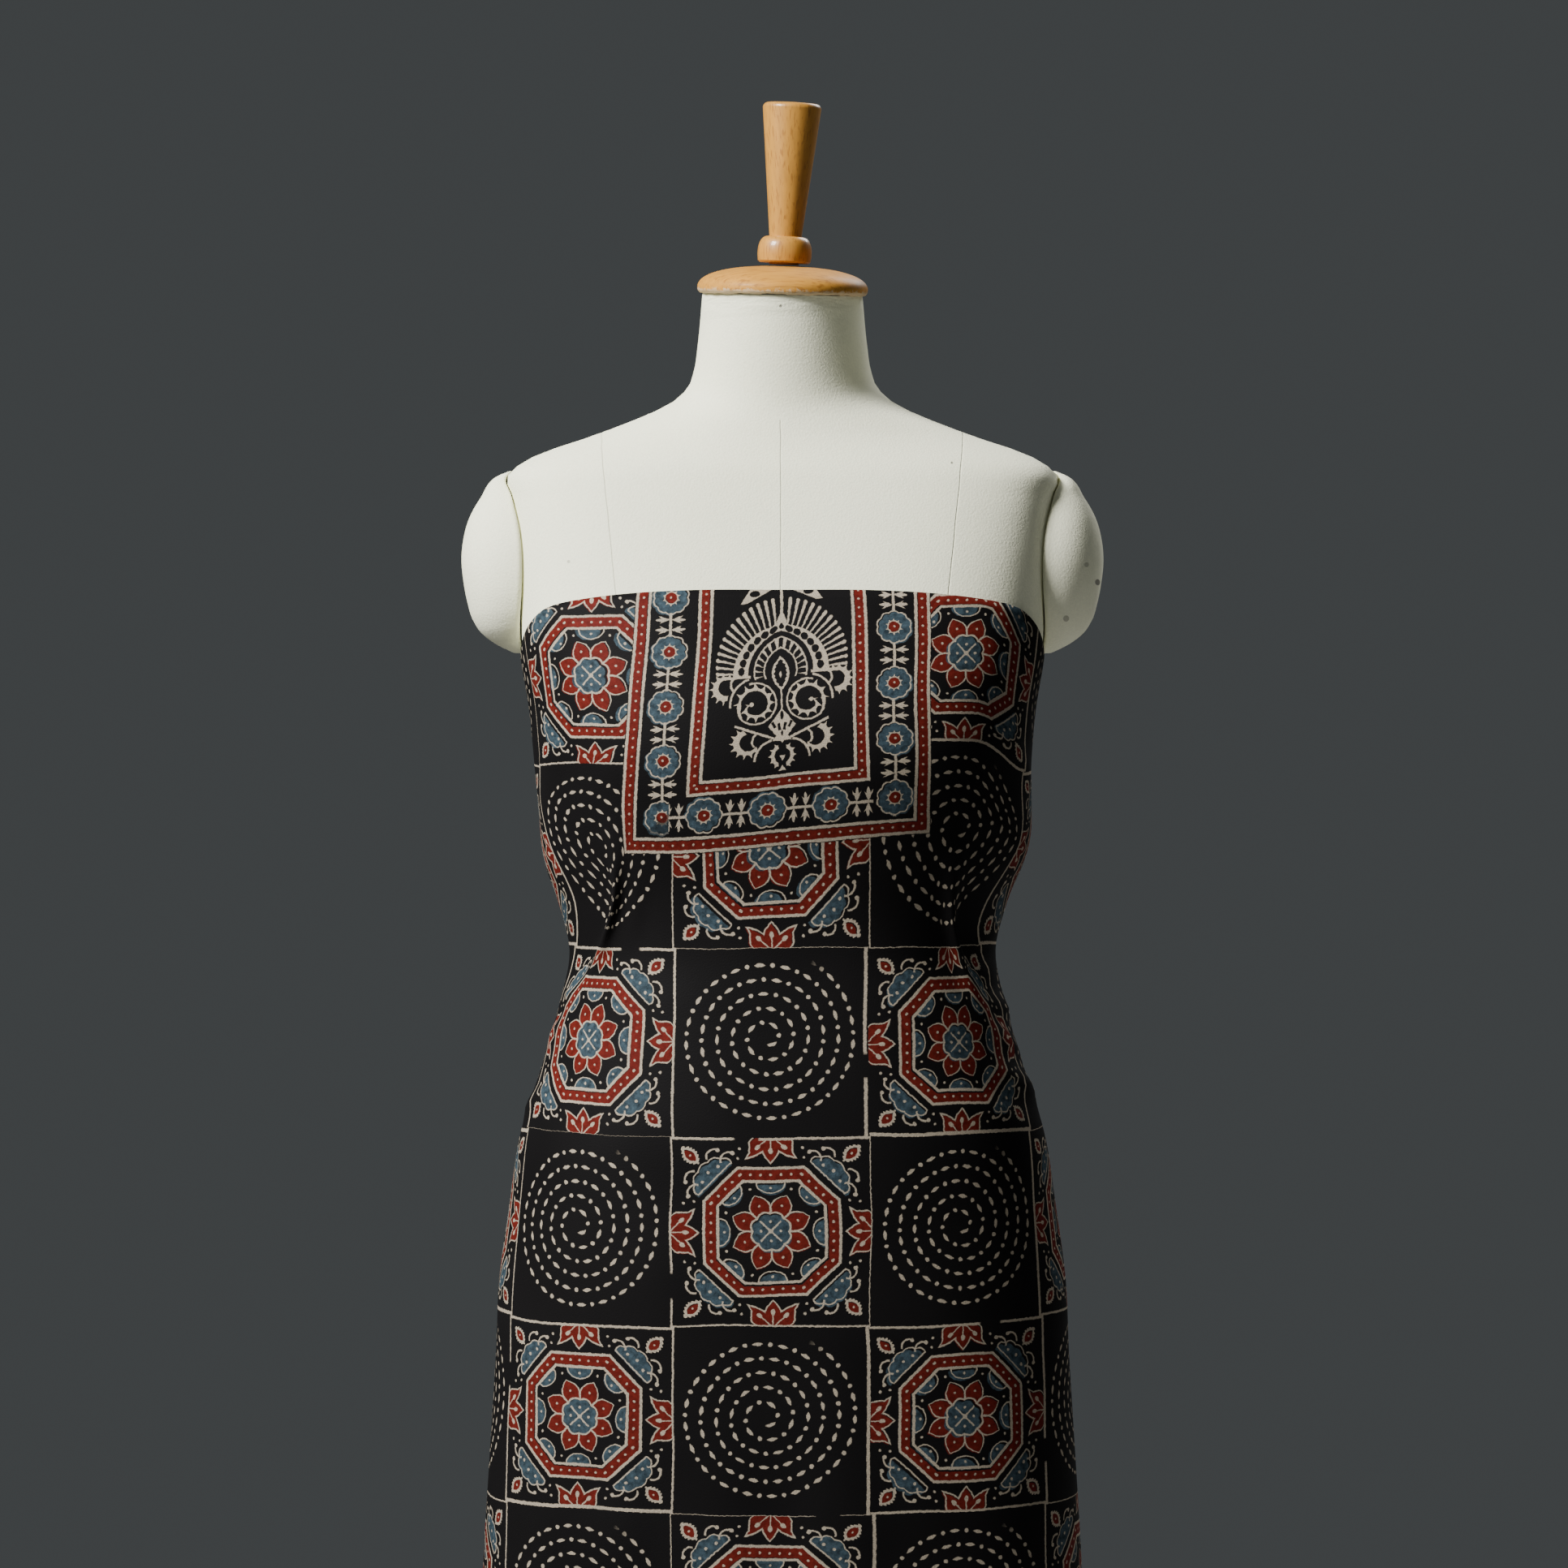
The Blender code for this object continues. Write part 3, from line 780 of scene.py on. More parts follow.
def yoke_print(tree, u, v, warp):
    """The panel on the chest: two beaded borders, a row of flowers between them and a crest."""
    slow_x, slow_y, _ = channels(tree, warp)
    height = times_plus(slow_y, YOKE_WAVER, v - YOKE_FOOT)
    middle = times_plus(height, YOKE_LEAN, YOKE_MIDDLE)
    u = times_plus(slow_x, YOKE_WAVER, u)
    x = (u - middle) / times_plus(height, -YOKE_TAPER, YOKE_FOOT_SHARE)
    wide = abs(x)
    on_left = calc("LESS_THAN", x, 0.0)
    left_half = times_plus(height, -0.032, YOKE_HALF + 8.0)
    side_depth = blend(times_plus(height, 0.012, YOKE_HALF + 2.0), left_half, on_left) - wide
    depth = low(side_depth, height)
    along = blend(x, height, calc("LESS_THAN", side_depth, height))
    inner_side = times_plus(height, INNER_LEAN, INNER_HALF) - wide
    inner_foot = height - INNER_FOOT
    inner_depth = low(inner_side, inner_foot)
    inner_along = blend(x, height, calc("LESS_THAN", inner_side, inner_foot))
    masks = {}
    for dye in DYE_OFFSETS:
        block = Block(dye)
        if dye != "indigo":
            beaded_band(block, depth, along, YOKE_LINE, YOKE_BAND, YOKE_DOT_PITCH, YOKE_DOT)
            beaded_band(block, inner_depth, inner_along, YOKE_LINE, INNER_BAND, INNER_DOT_PITCH, YOKE_DOT)
        flower_row(block, x, wide, height)
        if dye == "undyed":
            crest(block, u + CREST_MIDDLE, (height - CREST_HEIGHT) / CREST_STRETCH)
        masks[dye] = block.mask
    return masks, over(depth + 0.4)


def spikes(angle, count, size):
    """Pointed teeth round a centre: count of them, each of a size."""
    tooth = 1.0 - abs(calc("SINE", angle * (count / 2)))
    return tooth * tooth * size


def flower_row(block, x, wide, height):
    """Blue flowers up the sides and along the foot of the panel, with sprigs between them."""
    right = calc("GREATER_THAN", x, 0.0)
    side_pitch = times_plus(right, ROW_PITCH - LEFT_PITCH, LEFT_PITCH)
    up = height - FLOWER_ROW - right * 1.5
    side_y = up - calc("ROUND", high(up, 0.0) / side_pitch) * side_pitch
    side_x = wide - FLOWER_COLUMN
    foot_x = x + ROW_MIDDLE - calc("ROUND", (x + ROW_MIDDLE) / ROW_PITCH) * ROW_PITCH
    foot_y = height - FLOWER_ROW
    # The foot's row runs on over the left corner flower
    row_end = times_plus(calc("LESS_THAN", height, 36.0) * (1.0 - right), 9.0, 57.0)
    on_side = calc("GREATER_THAN", wide, row_end)
    across = blend(foot_y, side_x, on_side)
    along = blend(foot_x, side_y, on_side)
    # The left corner flower is printed on its upper left half only
    kept = high(times_plus(wide, 0.85, height - 82.0), right * 50.0, (1.0 - on_side) * 50.0)
    if block.dye == "madder":
        block.put(over(low(3.7 - span(across + 0.4, along - 0.3), kept)))
        return
    radius = span(across, along)
    angle = calc("ARCTAN2", across, along)
    edge = times_plus(abs(calc("COSINE", angle * 5.0)), 1.0, 10.7)
    if block.dye == "indigo":
        block.put(over(low(edge - 0.4 - span(across - 1.2, along + 0.9), radius - 4.4, kept)))
        return
    block.mark(low(edge - radius, radius - edge + 1.1, kept))
    block.mark(low(spikes(angle, 10, 1.5) + 4.4 - radius, radius - 3.5, kept))
    block.mark(low(0.8 - span(across - 0.3, along - 0.4), kept))
    gap = blend(ROW_PITCH, side_pitch, on_side) * 0.5 - abs(along)
    beside = abs(across)
    block.mark(low(0.95 - beside, 8.2 - gap, height - 12.0))
    off = gap - 3.5
    reach = span(beside - 1.6, off)
    turn = calc("ARCTAN2", off, beside - 1.6)
    prongs = times_plus(calc("COSINE", turn * 11.0 + 0.4), 1.7, 6.0) - reach
    wedge = times_plus(low(beside, 5.6), 0.42, -0.05) - abs(off) + high(beside - 5.6, 0.0) * 0.25
    block.mark(low(wedge, prongs, beside - 0.6, height - 12.0))


def crest(block, x, y):
    """The undyed crest: a feathered arch over a drop, rolled scrolls, leaves, a slotted fan and a bud."""
    wide = abs(x)
    radius = high(span(x, y), 0.1)
    sine = wide / radius
    cosine = y / radius
    angle = calc("ARCTAN2", wide, y)
    above = y + 1.5
    crest_arch(block, radius, sine, cosine, angle, above)
    # Stem over the arch and the drop under it
    block.mark(low(high(1.0 - wide, times_plus(y, -0.45, 18.6) - wide), y - 33.0))
    drop = times_plus(y * y, -0.0488, 5.9) - wide
    notches = abs(calc("SINE", y * 1.2)) * 0.9 + 1.3
    block.mark(low(drop, notches - drop))
    block.mark(0.8 - span(wide, (y + 0.7) * 0.4))
    block.mark(low(0.65 - wide, -10.2 - y, y + 24.0))
    scroll(block, wide - 16.8, y + 18.2)
    # Upper side leaves with their arms
    leaf(block, wide - 36.4, y + 7.0, 7.9, (1.0, 0.6, 5.2), (1.0, 0.25, 3.4))
    block.mark(low(0.95 - abs(y + 0.6), wide - 19.5, 42.0 - wide))
    ring(block, wide - 16.8, y + 18.2, 16.3, 0.75, wide - 20.5, y + 19.5)
    ring(block, wide - 27.6, y + 5.2, 5.0, 0.75, wide - 30.0, y + 9.5)
    # Lower side leaves with their arms
    leaf(block, wide - 23.0, y + 43.0, 8.3, (1.4, 0.0, 5.6), (0.8, -0.6, 3.5))
    block.mark(low(0.9 - abs(y + 41.3 - (wide - 7.0) * 0.42), wide - 5.0, 30.5 - wide))
    ring(block, wide - 4.5, y + 56.0, 13.1, 0.8, wide - 6.5, y + 55.5)
    ring(block, wide - 13.8, y + 42.8, 5.4, 0.75, wide - 16.5, y + 46.5)
    slotted_fan(block, wide, y)
    hanging_bud(block, wide, y)
    # The feet of the next motif, cut off by the cloth's edge
    cut_leaf = low((wide - 9.5) * 0.5 - (53.2 - y), (27.0 - wide) * 1.3 - (y - 46.8) * 0.9, y - 46.6)
    hollow = span(wide - 17.8, (y - 52.6) * 1.7) - 3.4
    block.mark(low(cut_leaf, hollow))


def crest_arch(block, radius, sine, cosine, angle, above):
    """Club-shaped feathers round a band of dark beads and an arch of dark slots."""
    step = angle / FEATHER_PITCH - 0.15
    off = abs(step - high(calc("ROUND", step), 1.0)) * radius * FEATHER_PITCH
    tip = times_plus(cosine, 7.4, 41.0)
    share = (radius - 31.0) / 15.5
    quill = low(times_plus(share, 0.62, 0.55) - off, tip - radius, radius - 30.0)
    block.mark(low(high(quill, 1.3 - span(off, radius - tip)), above))
    ogive = calc("POWER", high(1.0 - sine, 0.0), 1.5)
    foot = times_plus(ogive, 5.0, times_plus(cosine, 1.5, 21.0))
    peak = high(1.0 - sine * 5.0, 0.0)
    block.mark(low(radius - foot, times_plus(peak, 3.5, 31.2) - radius, above))
    bead = angle / BEAD_PITCH + 0.17
    bead = (bead - calc("ROUND", bead)) * radius * BEAD_PITCH
    middle = times_plus(peak, 1.8, (foot + 30.6) * 0.5)
    block.cut(2.75 - span(bead, (radius - middle) * 1.22))
    inner_top = foot - 3.3
    inner_foot = times_plus(ogive, 3.9, times_plus(cosine, 2.0, 10.0))
    block.mark(low(radius - inner_foot, inner_top - radius, above + 1.5))
    slot = angle / SLOT_PITCH
    slot = abs(slot - calc("ROUND", slot)) * radius * SLOT_PITCH
    block.cut(low(1.5 - slot, radius - inner_foot - 1.0, inner_top - 1.0 - radius))


def ring(block, x, y, radius, half_line, *limits):
    """A part of a thin circle within some limits."""
    block.mark(low(half_line - abs(span(x, y) - radius), *limits))


def leaf(block, x, y, size, heart, opening):
    """A toothed crescent: heart is its hollow's shift left, shift up and radius, opening a side left out."""
    teeth = spikes(calc("ARCTAN2", y, x), 13, 2.8)
    hollow = span(x + heart[0], y - heart[1]) - heart[2]
    block.mark(low(teeth + size - span(x, y), hollow, x * opening[0] + y * opening[1] + opening[2]))


def scroll(block, x, y):
    """A rolled scroll: a toothed inner turn that runs out into a thin open line."""
    radius = span(x, y)
    angle = calc("ARCTAN2", y, x)
    turn = calc("FRACT", angle / -math.tau)
    start = high(1.0 - turn * 7.0, 0.0)
    inner = radius - times_plus(turn * turn, 2.4, 8.0) + start * start * 5.0
    block.mark(low(inner + 1.0, spikes(angle, 12, 3.2) + 0.9 - inner))
    outer = abs(radius - times_plus(start, -2.8, 13.2))
    block.mark(low(times_plus(start, 0.8, 0.66) - outer, (0.8 - turn) * 40.0))
    block.mark(1.5 - span(x - 2.6, y + 0.2))


def slotted_fan(block, wide, y):
    """A diamond of dark slots between the scrolls."""
    diamond = low(times_plus(y, -0.8, -18.1), times_plus(y, 0.8, 36.2)) - wide
    block.mark(high(diamond * 0.78, low(times_plus(y, -0.75, -26.5) - wide, -39.0 - y, y + 43.8)))
    radius = span(wide, y + 44.0)
    angle = calc("ARCTAN2", wide, y + 44.0)
    block.cut(low(0.95 - abs(angle - 0.19) * radius, 2.5 - abs(radius - 9.6)))
    block.cut(low(0.95 - abs(angle - 0.46) * radius, 2.3 - abs(radius - 12.0)))
    block.cut(1.2 - span(wide, (y + 27.2) * 0.42))
    block.cut(0.8 - span(wide, (y + 39.0) * 0.5))


def hanging_bud(block, wide, y):
    """Two small toothed crescents with an hourglass between them."""
    radius = span(wide, y + 53.3)
    teeth = spikes(calc("ARCTAN2", y + 53.3, wide), 13, 1.9)
    block.mark(low(teeth + 7.2 - radius, radius - 4.9, wide - 2.4))
    block.mark(low(times_plus(y, 0.58, 32.9) - wide, -53.0 - y))
    block.mark(low(times_plus(y, -0.74, -43.6) - wide, y + 62.6))


def printed_material(name, settings, with_yoke):
    """The printed cloth, drawn on the cloth's own map in metres."""
    made, tree, shader = new_material(name, 0.60, 0.035)
    own_map = tree.nodes.new("ShaderNodeUVMap")
    own_map.uv_map = "print"
    slow, slow_colour = noise(tree, own_map.outputs[0], 14.0, 1.0)
    _, fine_colour = noise(tree, own_map.outputs[0], 420.0, 2.0)
    fine_x, fine_y, _ = channels(tree, fine_colour)
    parts = tree.nodes.new("ShaderNodeSeparateXYZ")
    tree.links.new(own_map.outputs[0], parts.inputs[0])
    u = times_plus(Num(tree, parts.outputs[0]), 1000.0, fine_x * EDGE_WAVER)
    v = times_plus(Num(tree, parts.outputs[1]), 1000.0, fine_y * EDGE_WAVER)
    masks = field_print(tree, u, v, slow_colour)
    if with_yoke:
        panel, inside = yoke_print(tree, u, v, slow_colour)
        masks = {dye: blend(masks[dye], panel[dye], inside) for dye in masks}
    mottle, _ = noise(tree, own_map.outputs[0], 230.0, 4.0, 0.68)
    mottle = calc("MULTIPLY_ADD", mottle, 3.0, -1.0, clamp=True)
    grain, _ = noise(tree, own_map.outputs[0], 1300.0, 2.0, 0.7)
    grain = calc("MULTIPLY_ADD", grain, 3.2, -1.1, clamp=True)
    ground = mix_colour(tree, slow, scaled(settings.ground, 0.7), scaled(settings.ground, 1.4))
    red = mix_colour(tree, mottle, scaled(settings.madder, 0.66), scaled(settings.madder, 1.18))
    blue = mix_colour(tree, mottle, scaled(settings.indigo, 0.42), scaled(settings.indigo, 1.45))
    bare = mix_colour(tree, grain, scaled(settings.undyed, 0.60), scaled(settings.undyed, 1.18))
    colour = mix_colour(tree, masks["madder"], ground, red)
    colour = mix_colour(tree, masks["indigo"] * 0.94, colour, blue)
    colour = mix_colour(tree, masks["undyed"] * 0.95, colour, bare)
    tree.links.new(colour, shader.inputs["Base Color"])
    weave, _ = noise(tree, own_map.outputs[0], 900.0, 1.0)
    add_bump(tree, shader, weave, 0.0003, 0.35)
    return made


# Small marks on the canvas front: across, height, radius, how dark
CANVAS_MARKS = (
    (-0.0010, 1.4722, 0.0011, 0.80),
    (-0.1390, 1.3045, 0.0012, 0.45),
    (0.1110, 1.3700, 0.0010, 0.75),
    (0.2003, 1.3047, 0.0019, 0.40),
    (0.1868, 1.2690, 0.0022, 0.50),
    (0.2085, 1.2935, 0.0022, 0.80),
)
MARK_SHARPNESS = 2500.0
SEAM_TOP = 1.398
PRINCESS_SLOPE = 0.11
PRINCESS_FOOT = -0.0335
CAP_WRINKLES_FROM = 1.466
WRINKLE_TURN_DEG = 38.0


def canvas_material(settings):
    """Off-white canvas with fine seams, small marks and wrinkles where it is drawn up under the cap."""
    made, tree, shader = new_material("Form Canvas", 0.88, 0.2)
    shader.inputs["Sheen Weight"].default_value = 0.04
    coordinates = tree.nodes.new("ShaderNodeTexCoord")
    place = coordinates.outputs["Object"]
    parts = tree.nodes.new("ShaderNodeSeparateXYZ")
    tree.links.new(place, parts.inputs[0])
    x = Num(tree, parts.outputs[0])
    y = Num(tree, parts.outputs[1])
    z = Num(tree, parts.outputs[2])
    wobble, _ = noise(tree, place, 60.0, 1.0)
    seam_x = times_plus(wobble - 0.5, 0.0012, x)
    princess = abs(abs(seam_x) - times_plus(z, PRINCESS_SLOPE, PRINCESS_FOOT))
    seam = low(abs(seam_x + 0.001), princess)
    line = calc("MULTIPLY_ADD", seam, -2200.0, 1.4, clamp=True) * calc("LESS_THAN", z, SEAM_TOP)
    mottle, _ = noise(tree, place, 22.0, 3.0)
    light = mix_colour(tree, mottle, scaled(settings.canvas, 0.955), scaled(settings.canvas, 1.03))
    dark = [settings.canvas[0] * 0.62, settings.canvas[1] * 0.61, settings.canvas[2] * 0.56]
    colour = mix_colour(tree, line * 0.42, light, dark)
    threads, _ = noise(tree, place, 620.0, 2.0, 0.7)
    threads = calc("MULTIPLY_ADD", threads, 3.0, -1.0, clamp=True)
    colour = mix_colour(tree, threads * 0.16, colour, scaled(settings.canvas, 0.55))
    spots = None
    for across, height, radius, share in CANVAS_MARKS:
        off = span(x - across, z - height)
        spot = calc("MULTIPLY_ADD", off, -MARK_SHARPNESS, radius * MARK_SHARPNESS, clamp=True) * share
        spots = spot if spots is None else high(spots, spot)
    spots = spots * calc("LESS_THAN", y, 0.03)
    tree.links.new(mix_colour(tree, spots, colour, (0.12, 0.11, 0.09)), shader.inputs["Base Color"])
    grain, _ = noise(tree, place, 700.0, 2.0)
    mapping = tree.nodes.new("ShaderNodeMapping")
    mapping.inputs["Rotation"].default_value = (0.0, math.radians(WRINKLE_TURN_DEG), 0.0)
    mapping.inputs["Scale"].default_value = (30.0, 30.0, 170.0)
    tree.links.new(place, mapping.inputs["Vector"])
    drawn, _ = noise(tree, mapping.outputs[0], 1.0, 2.0)
    under_cap = calc("MULTIPLY_ADD", z - CAP_WRINKLES_FROM, 70.0, 0.0, clamp=True)
    add_bump(tree, shader, grain * 0.5 - line * 0.8 + drawn * under_cap * 4.5 - spots, 0.0009, 0.55)
    return made


def beech_material(settings, name, grain_scale, varnish=0.30, rough_edge=False):
    """Honey-coloured varnished beech with fine flecks along the grain; its lower edge can be rough."""
    made, tree, shader = new_material(name, 0.55 - varnish * 0.4, 0.12 + varnish * 0.8)
    shader.inputs["Coat Weight"].default_value = varnish
    shader.inputs["Coat Roughness"].default_value = 0.14
    coordinates = tree.nodes.new("ShaderNodeTexCoord")
    place = coordinates.outputs["Object"]
    mapping = tree.nodes.new("ShaderNodeMapping")
    mapping.inputs["Scale"].default_value = grain_scale
    tree.links.new(place, mapping.inputs["Vector"])
    bands, _ = noise(tree, mapping.outputs[0], 1.0, 3.0, 0.6)
    flecks, _ = noise(tree, mapping.outputs[0], 2.6, 1.0)
    fleck = calc("MULTIPLY_ADD", flecks, 7.0, -3.9, clamp=True) * 0.55
    body = mix_colour(tree, bands, scaled(settings.beech, 0.74), scaled(settings.beech, 1.22))
    colour = mix_colour(tree, fleck, body, tuple(settings.beech_dark))
    if rough_edge:
        offset = tree.nodes.new("ShaderNodeVectorMath")
        offset.operation = "SUBTRACT"
        tree.links.new(place, offset.inputs[0])
        offset.inputs[1].default_value = CAP_PLACE
        upright = tree.nodes.new("ShaderNodeVectorMath")
        upright.operation = "DOT_PRODUCT"
        tree.links.new(offset.outputs[0], upright.inputs[0])
        upright.inputs[1].default_value = cap_turn() @ Vector((0.0, 0.0, 1.0))
        height = Num(tree, upright.outputs["Value"])
        fibres, _ = noise(tree, place, 330.0, 3.0, 0.7)
        fibres = fibres - 0.5
        edge = calc("MULTIPLY_ADD", fibres, 6.0, times_plus(height, -700.0, 2.2), clamp=True)
        colour = mix_colour(tree, edge * 0.85, colour, EDGE_FIBRES)
    tree.links.new(colour, shader.inputs["Base Color"])
    add_bump(tree, shader, fleck, 0.0002, 0.3)
    return made


def cap_turn():
    """How the neck cap is tipped forwards and to the right."""
    roll = Matrix.Rotation(math.radians(CAP_ROLL_DEG), 4, "Y")
    return roll @ Matrix.Rotation(math.radians(CAP_PITCH_DEG), 4, "X")


def steel_material(settings):
    """Satin black paint with a faint orange-peel."""
    made, tree, shader = new_material("Painted Steel", 0.36)
    coordinates = tree.nodes.new("ShaderNodeTexCoord")
    peel, _ = noise(tree, coordinates.outputs["Object"], 500.0, 1.0)
    shade = mix_colour(tree, peel, scaled(settings.steel, 0.8), scaled(settings.steel, 1.5))
    tree.links.new(shade, shader.inputs["Base Color"])
    add_bump(tree, shader, peel, 0.0002, 0.3)
    return made


def smooth_column(table, column, at):
    """A table's column read from a smooth curve through its rows."""
    places = table[:, 0]
    values = table[:, column]
    slopes = np.gradient(values, places)
    at = np.clip(at, places[0], places[-1])
    row = np.clip(np.searchsorted(places, at) - 1, 0, len(places) - 2)
    gap = places[row + 1] - places[row]
    t = (at - places[row]) / gap
    start = values[row] * (1 + 2 * t) * (1 - t) ** 2 + slopes[row] * gap * t * (1 - t) ** 2
    end = values[row + 1] * t * t * (3 - 2 * t) + slopes[row + 1] * gap * t * t * (t - 1)
    return start + end


def eased(t):
    """0 to 1 with soft ends."""
    t = min(max(t, 0.0), 1.0)
    return t * t * (3 - 2 * t)


# Outlines that have been worked out, by table and height
KNOWN_OUTLINES = {}


def outline(table, height):
    """A level section as points, the distance of each from the centre front, and the distance round."""
    key = (id(table), round(height, 5))
    if key in KNOWN_OUTLINES:
        return KNOWN_OUTLINES[key]
    half_width, front, back, squareness = (smooth_column(table, c, height) for c in range(1, 5))
    turn = np.linspace(-math.pi, math.pi, OUTLINE_SAMPLES)
    power = 2.0 / squareness
    x = half_width * np.sign(np.sin(turn)) * np.abs(np.sin(turn)) ** power
    reach = np.where(np.cos(turn) > 0, -front, back)
    y = reach * np.abs(np.cos(turn)) ** power
    along = np.concatenate(([0.0], np.cumsum(np.hypot(np.diff(x), np.diff(y)))))
    KNOWN_OUTLINES[key] = (x, y, along - along[-1] / 2, along[-1])
    return KNOWN_OUTLINES[key]


def point_round(table, height, distance, outwards=0.0):
    """The point at a distance round a level section, moved outwards by an amount."""
    x, y, along, total = outline(table, height)
    step = total / OUTLINE_SAMPLES
    places = (np.array((distance, distance + step, distance - step)) + total / 2) % total - total / 2
    xs = np.interp(places, along, x)
    ys = np.interp(places, along, y)
    run_x = xs[1] - xs[2]
    run_y = ys[1] - ys[2]
    scale = outwards / max(math.hypot(run_x, run_y), 1e-9)
    return xs[0] + run_y * scale, ys[0] - run_x * scale


def tip(height, x, y):
    """How far a point of the form is raised by its section's tip forwards and to the right."""
    if height <= FORM_TIPS[0, 0]:
        return 0.0
    pitch = math.radians(smooth_column(FORM_TIPS, 1, height))
    roll = math.radians(smooth_column(FORM_TIPS, 2, height))
    return (y - NECK_CENTRE_Y) * math.tan(pitch) - x * math.tan(roll)


def form_side(height, y):
    """How far out the form's side is at a height and a depth."""
    half_width, front, back, squareness = (smooth_column(FORM_SECTIONS, c, height) for c in range(1, 5))
    share = abs(y) / (front if y < 0 else back)
    return half_width * (1 - share**squareness) ** (1 / squareness)


def crumple(distance, height):
    """How far the small crumples lift the cloth at a place."""
    rise = 0.0
    for middle_height, middle, half_height, half_width, lift, slope in CRUMPLES:
        across = (distance - middle) / half_width
        up = (height - middle_height - slope * (distance - middle)) / half_height
        if abs(across) < 3 and abs(up) < 3:
            rise += lift * math.exp(-across * across - up * up)
    return rise


def fold_shape(distance, height):
    """How far the folds lift the cloth at a place, and how much cloth they take in up to there."""
    rise = 0.0
    taken = 0.0
    for top, fullest, bottom, start, end, half_width, lift, intake in FOLDS:
        if not bottom < height < top:
            continue
        above = (top - height) / (top - fullest)
        below = (height - bottom) / (fullest - bottom)
        strength = eased(min(above, below))
        middle = start + (end - start) * (top - height) / (top - bottom)
        across = (distance - middle) / half_width
        rise += lift * strength * math.exp(-across * across)
        outwards = across if middle > 0 else -across
        taken += math.copysign(intake, middle) * strength * eased((outwards / FOLD_SPREAD + 1) / 2)
    return rise, taken


def cloth_point(distance, level, width, top_height):
    """Where a point of the flat cloth hangs, from its distance across and the height of its row."""
    height = level
    if level > LEVEL_BELOW_TOP_EDGE:
        share = (level - LEVEL_BELOW_TOP_EDGE) / (top_height - LEVEL_BELOW_TOP_EDGE)
        edge = float(smooth_column(TOP_EDGE, 1, abs(distance)))
        height = LEVEL_BELOW_TOP_EDGE + share * (edge - LEVEL_BELOW_TOP_EDGE)
    rise, taken = fold_shape(distance, height)
    rise += crumple(distance, height)
    total = outline(CLOTH_SECTIONS, height)[3]
    along = distance - taken
    if distance > 0:
        under_edge = total - (width / 2 + fold_shape(-width / 2, height)[1])
        rise += LAYER_RISE * eased((along - under_edge + LAYER_MARGIN + LAYER_RAMP) / LAYER_RAMP)
    x, y = point_round(CLOTH_SECTIONS, height, along, rise)
    return x, y, height


def print_place(distance, height):
    """Where on the flat print a point of the cloth lies, in metres."""
    pulled = PULL_UP * eased((distance - PULL_FROM) / PULL_ACROSS) * eased((height - PULL_FOOT) / PULL_RISE)
    pulled *= eased((PULL_END - distance) / PULL_FADE)
    right = eased((distance - RIGHT_FROM) / RIGHT_ACROSS) * eased((height - RIGHT_FOOT) / RIGHT_RISE)
    right *= eased((RIGHT_END - distance) / RIGHT_FADE)
    level = height - pulled + CHEST_SLOPE * max(0.0, height - CHEST_HEIGHT)
    return distance, level + RIGHT_DROP * right


def finish_piece(name, bm, material, node):
    """A bmesh made into a piece at the origin that rides on the root and stands for a CAD node."""
    mesh = bpy.data.meshes.new(name)
    bm.to_mesh(mesh)
    bm.free()
    mesh.shade_smooth()
    mesh.materials.append(material)
    piece = bpy.data.objects.new(name, mesh)
    bpy.context.scene.collection.objects.link(piece)
    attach(piece, "root")
    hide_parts(node)
    return piece


def turned_mesh(profile, steps=TURNED_STEPS):
    """A profile of radius and height, foot first, spun round its own axis."""
    bm = bmesh.new()
    verts = [bm.verts.new((radius, 0.0, height)) for radius, height in profile]
    edges = [bm.edges.new(pair) for pair in zip(verts, verts[1:])]
    bmesh.ops.spin(
        bm,
        geom=verts + edges,
        axis=(0, 0, 1),
        cent=(0, 0, 0),
        angle=math.tau,
        steps=steps,
        use_merge=True,
    )
    bmesh.ops.remove_doubles(bm, verts=bm.verts, dist=1e-5)
    bmesh.ops.recalc_face_normals(bm, faces=bm.faces)
    return bm


def set_down(bm, place, pitch_deg=0.0, roll_deg=0.0):
    """Tips a turned mesh forwards and to the right, then moves it to its place."""
    turn = Matrix.Rotation(math.radians(roll_deg), 4, "Y") @ Matrix.Rotation(math.radians(pitch_deg), 4, "X")
    bmesh.ops.transform(bm, matrix=Matrix.Translation(place) @ turn, verts=bm.verts)


def arc(centre, radii, start_deg, end_deg, steps):
    """Profile points on a part of an ellipse."""
    points = []
    for step in range(steps + 1):
        angle = math.radians(start_deg + (end_deg - start_deg) * step / steps)
        points.append((centre[0] + radii[0] * math.cos(angle), centre[1] + radii[1] * math.sin(angle)))
    return points


def squared_arc(centre, radii, squareness, steps):
    """Profile points from the side to the top of an ellipse made squarer."""
    points = []
    power = 2 / squareness
    for step in range(steps + 1):
        turn = math.pi / 2 * step / steps
        across = radii[0] * math.cos(turn) ** power
        up = radii[1] * math.sin(turn) ** power
        points.append((centre[0] + across, centre[1] + up))
    return points


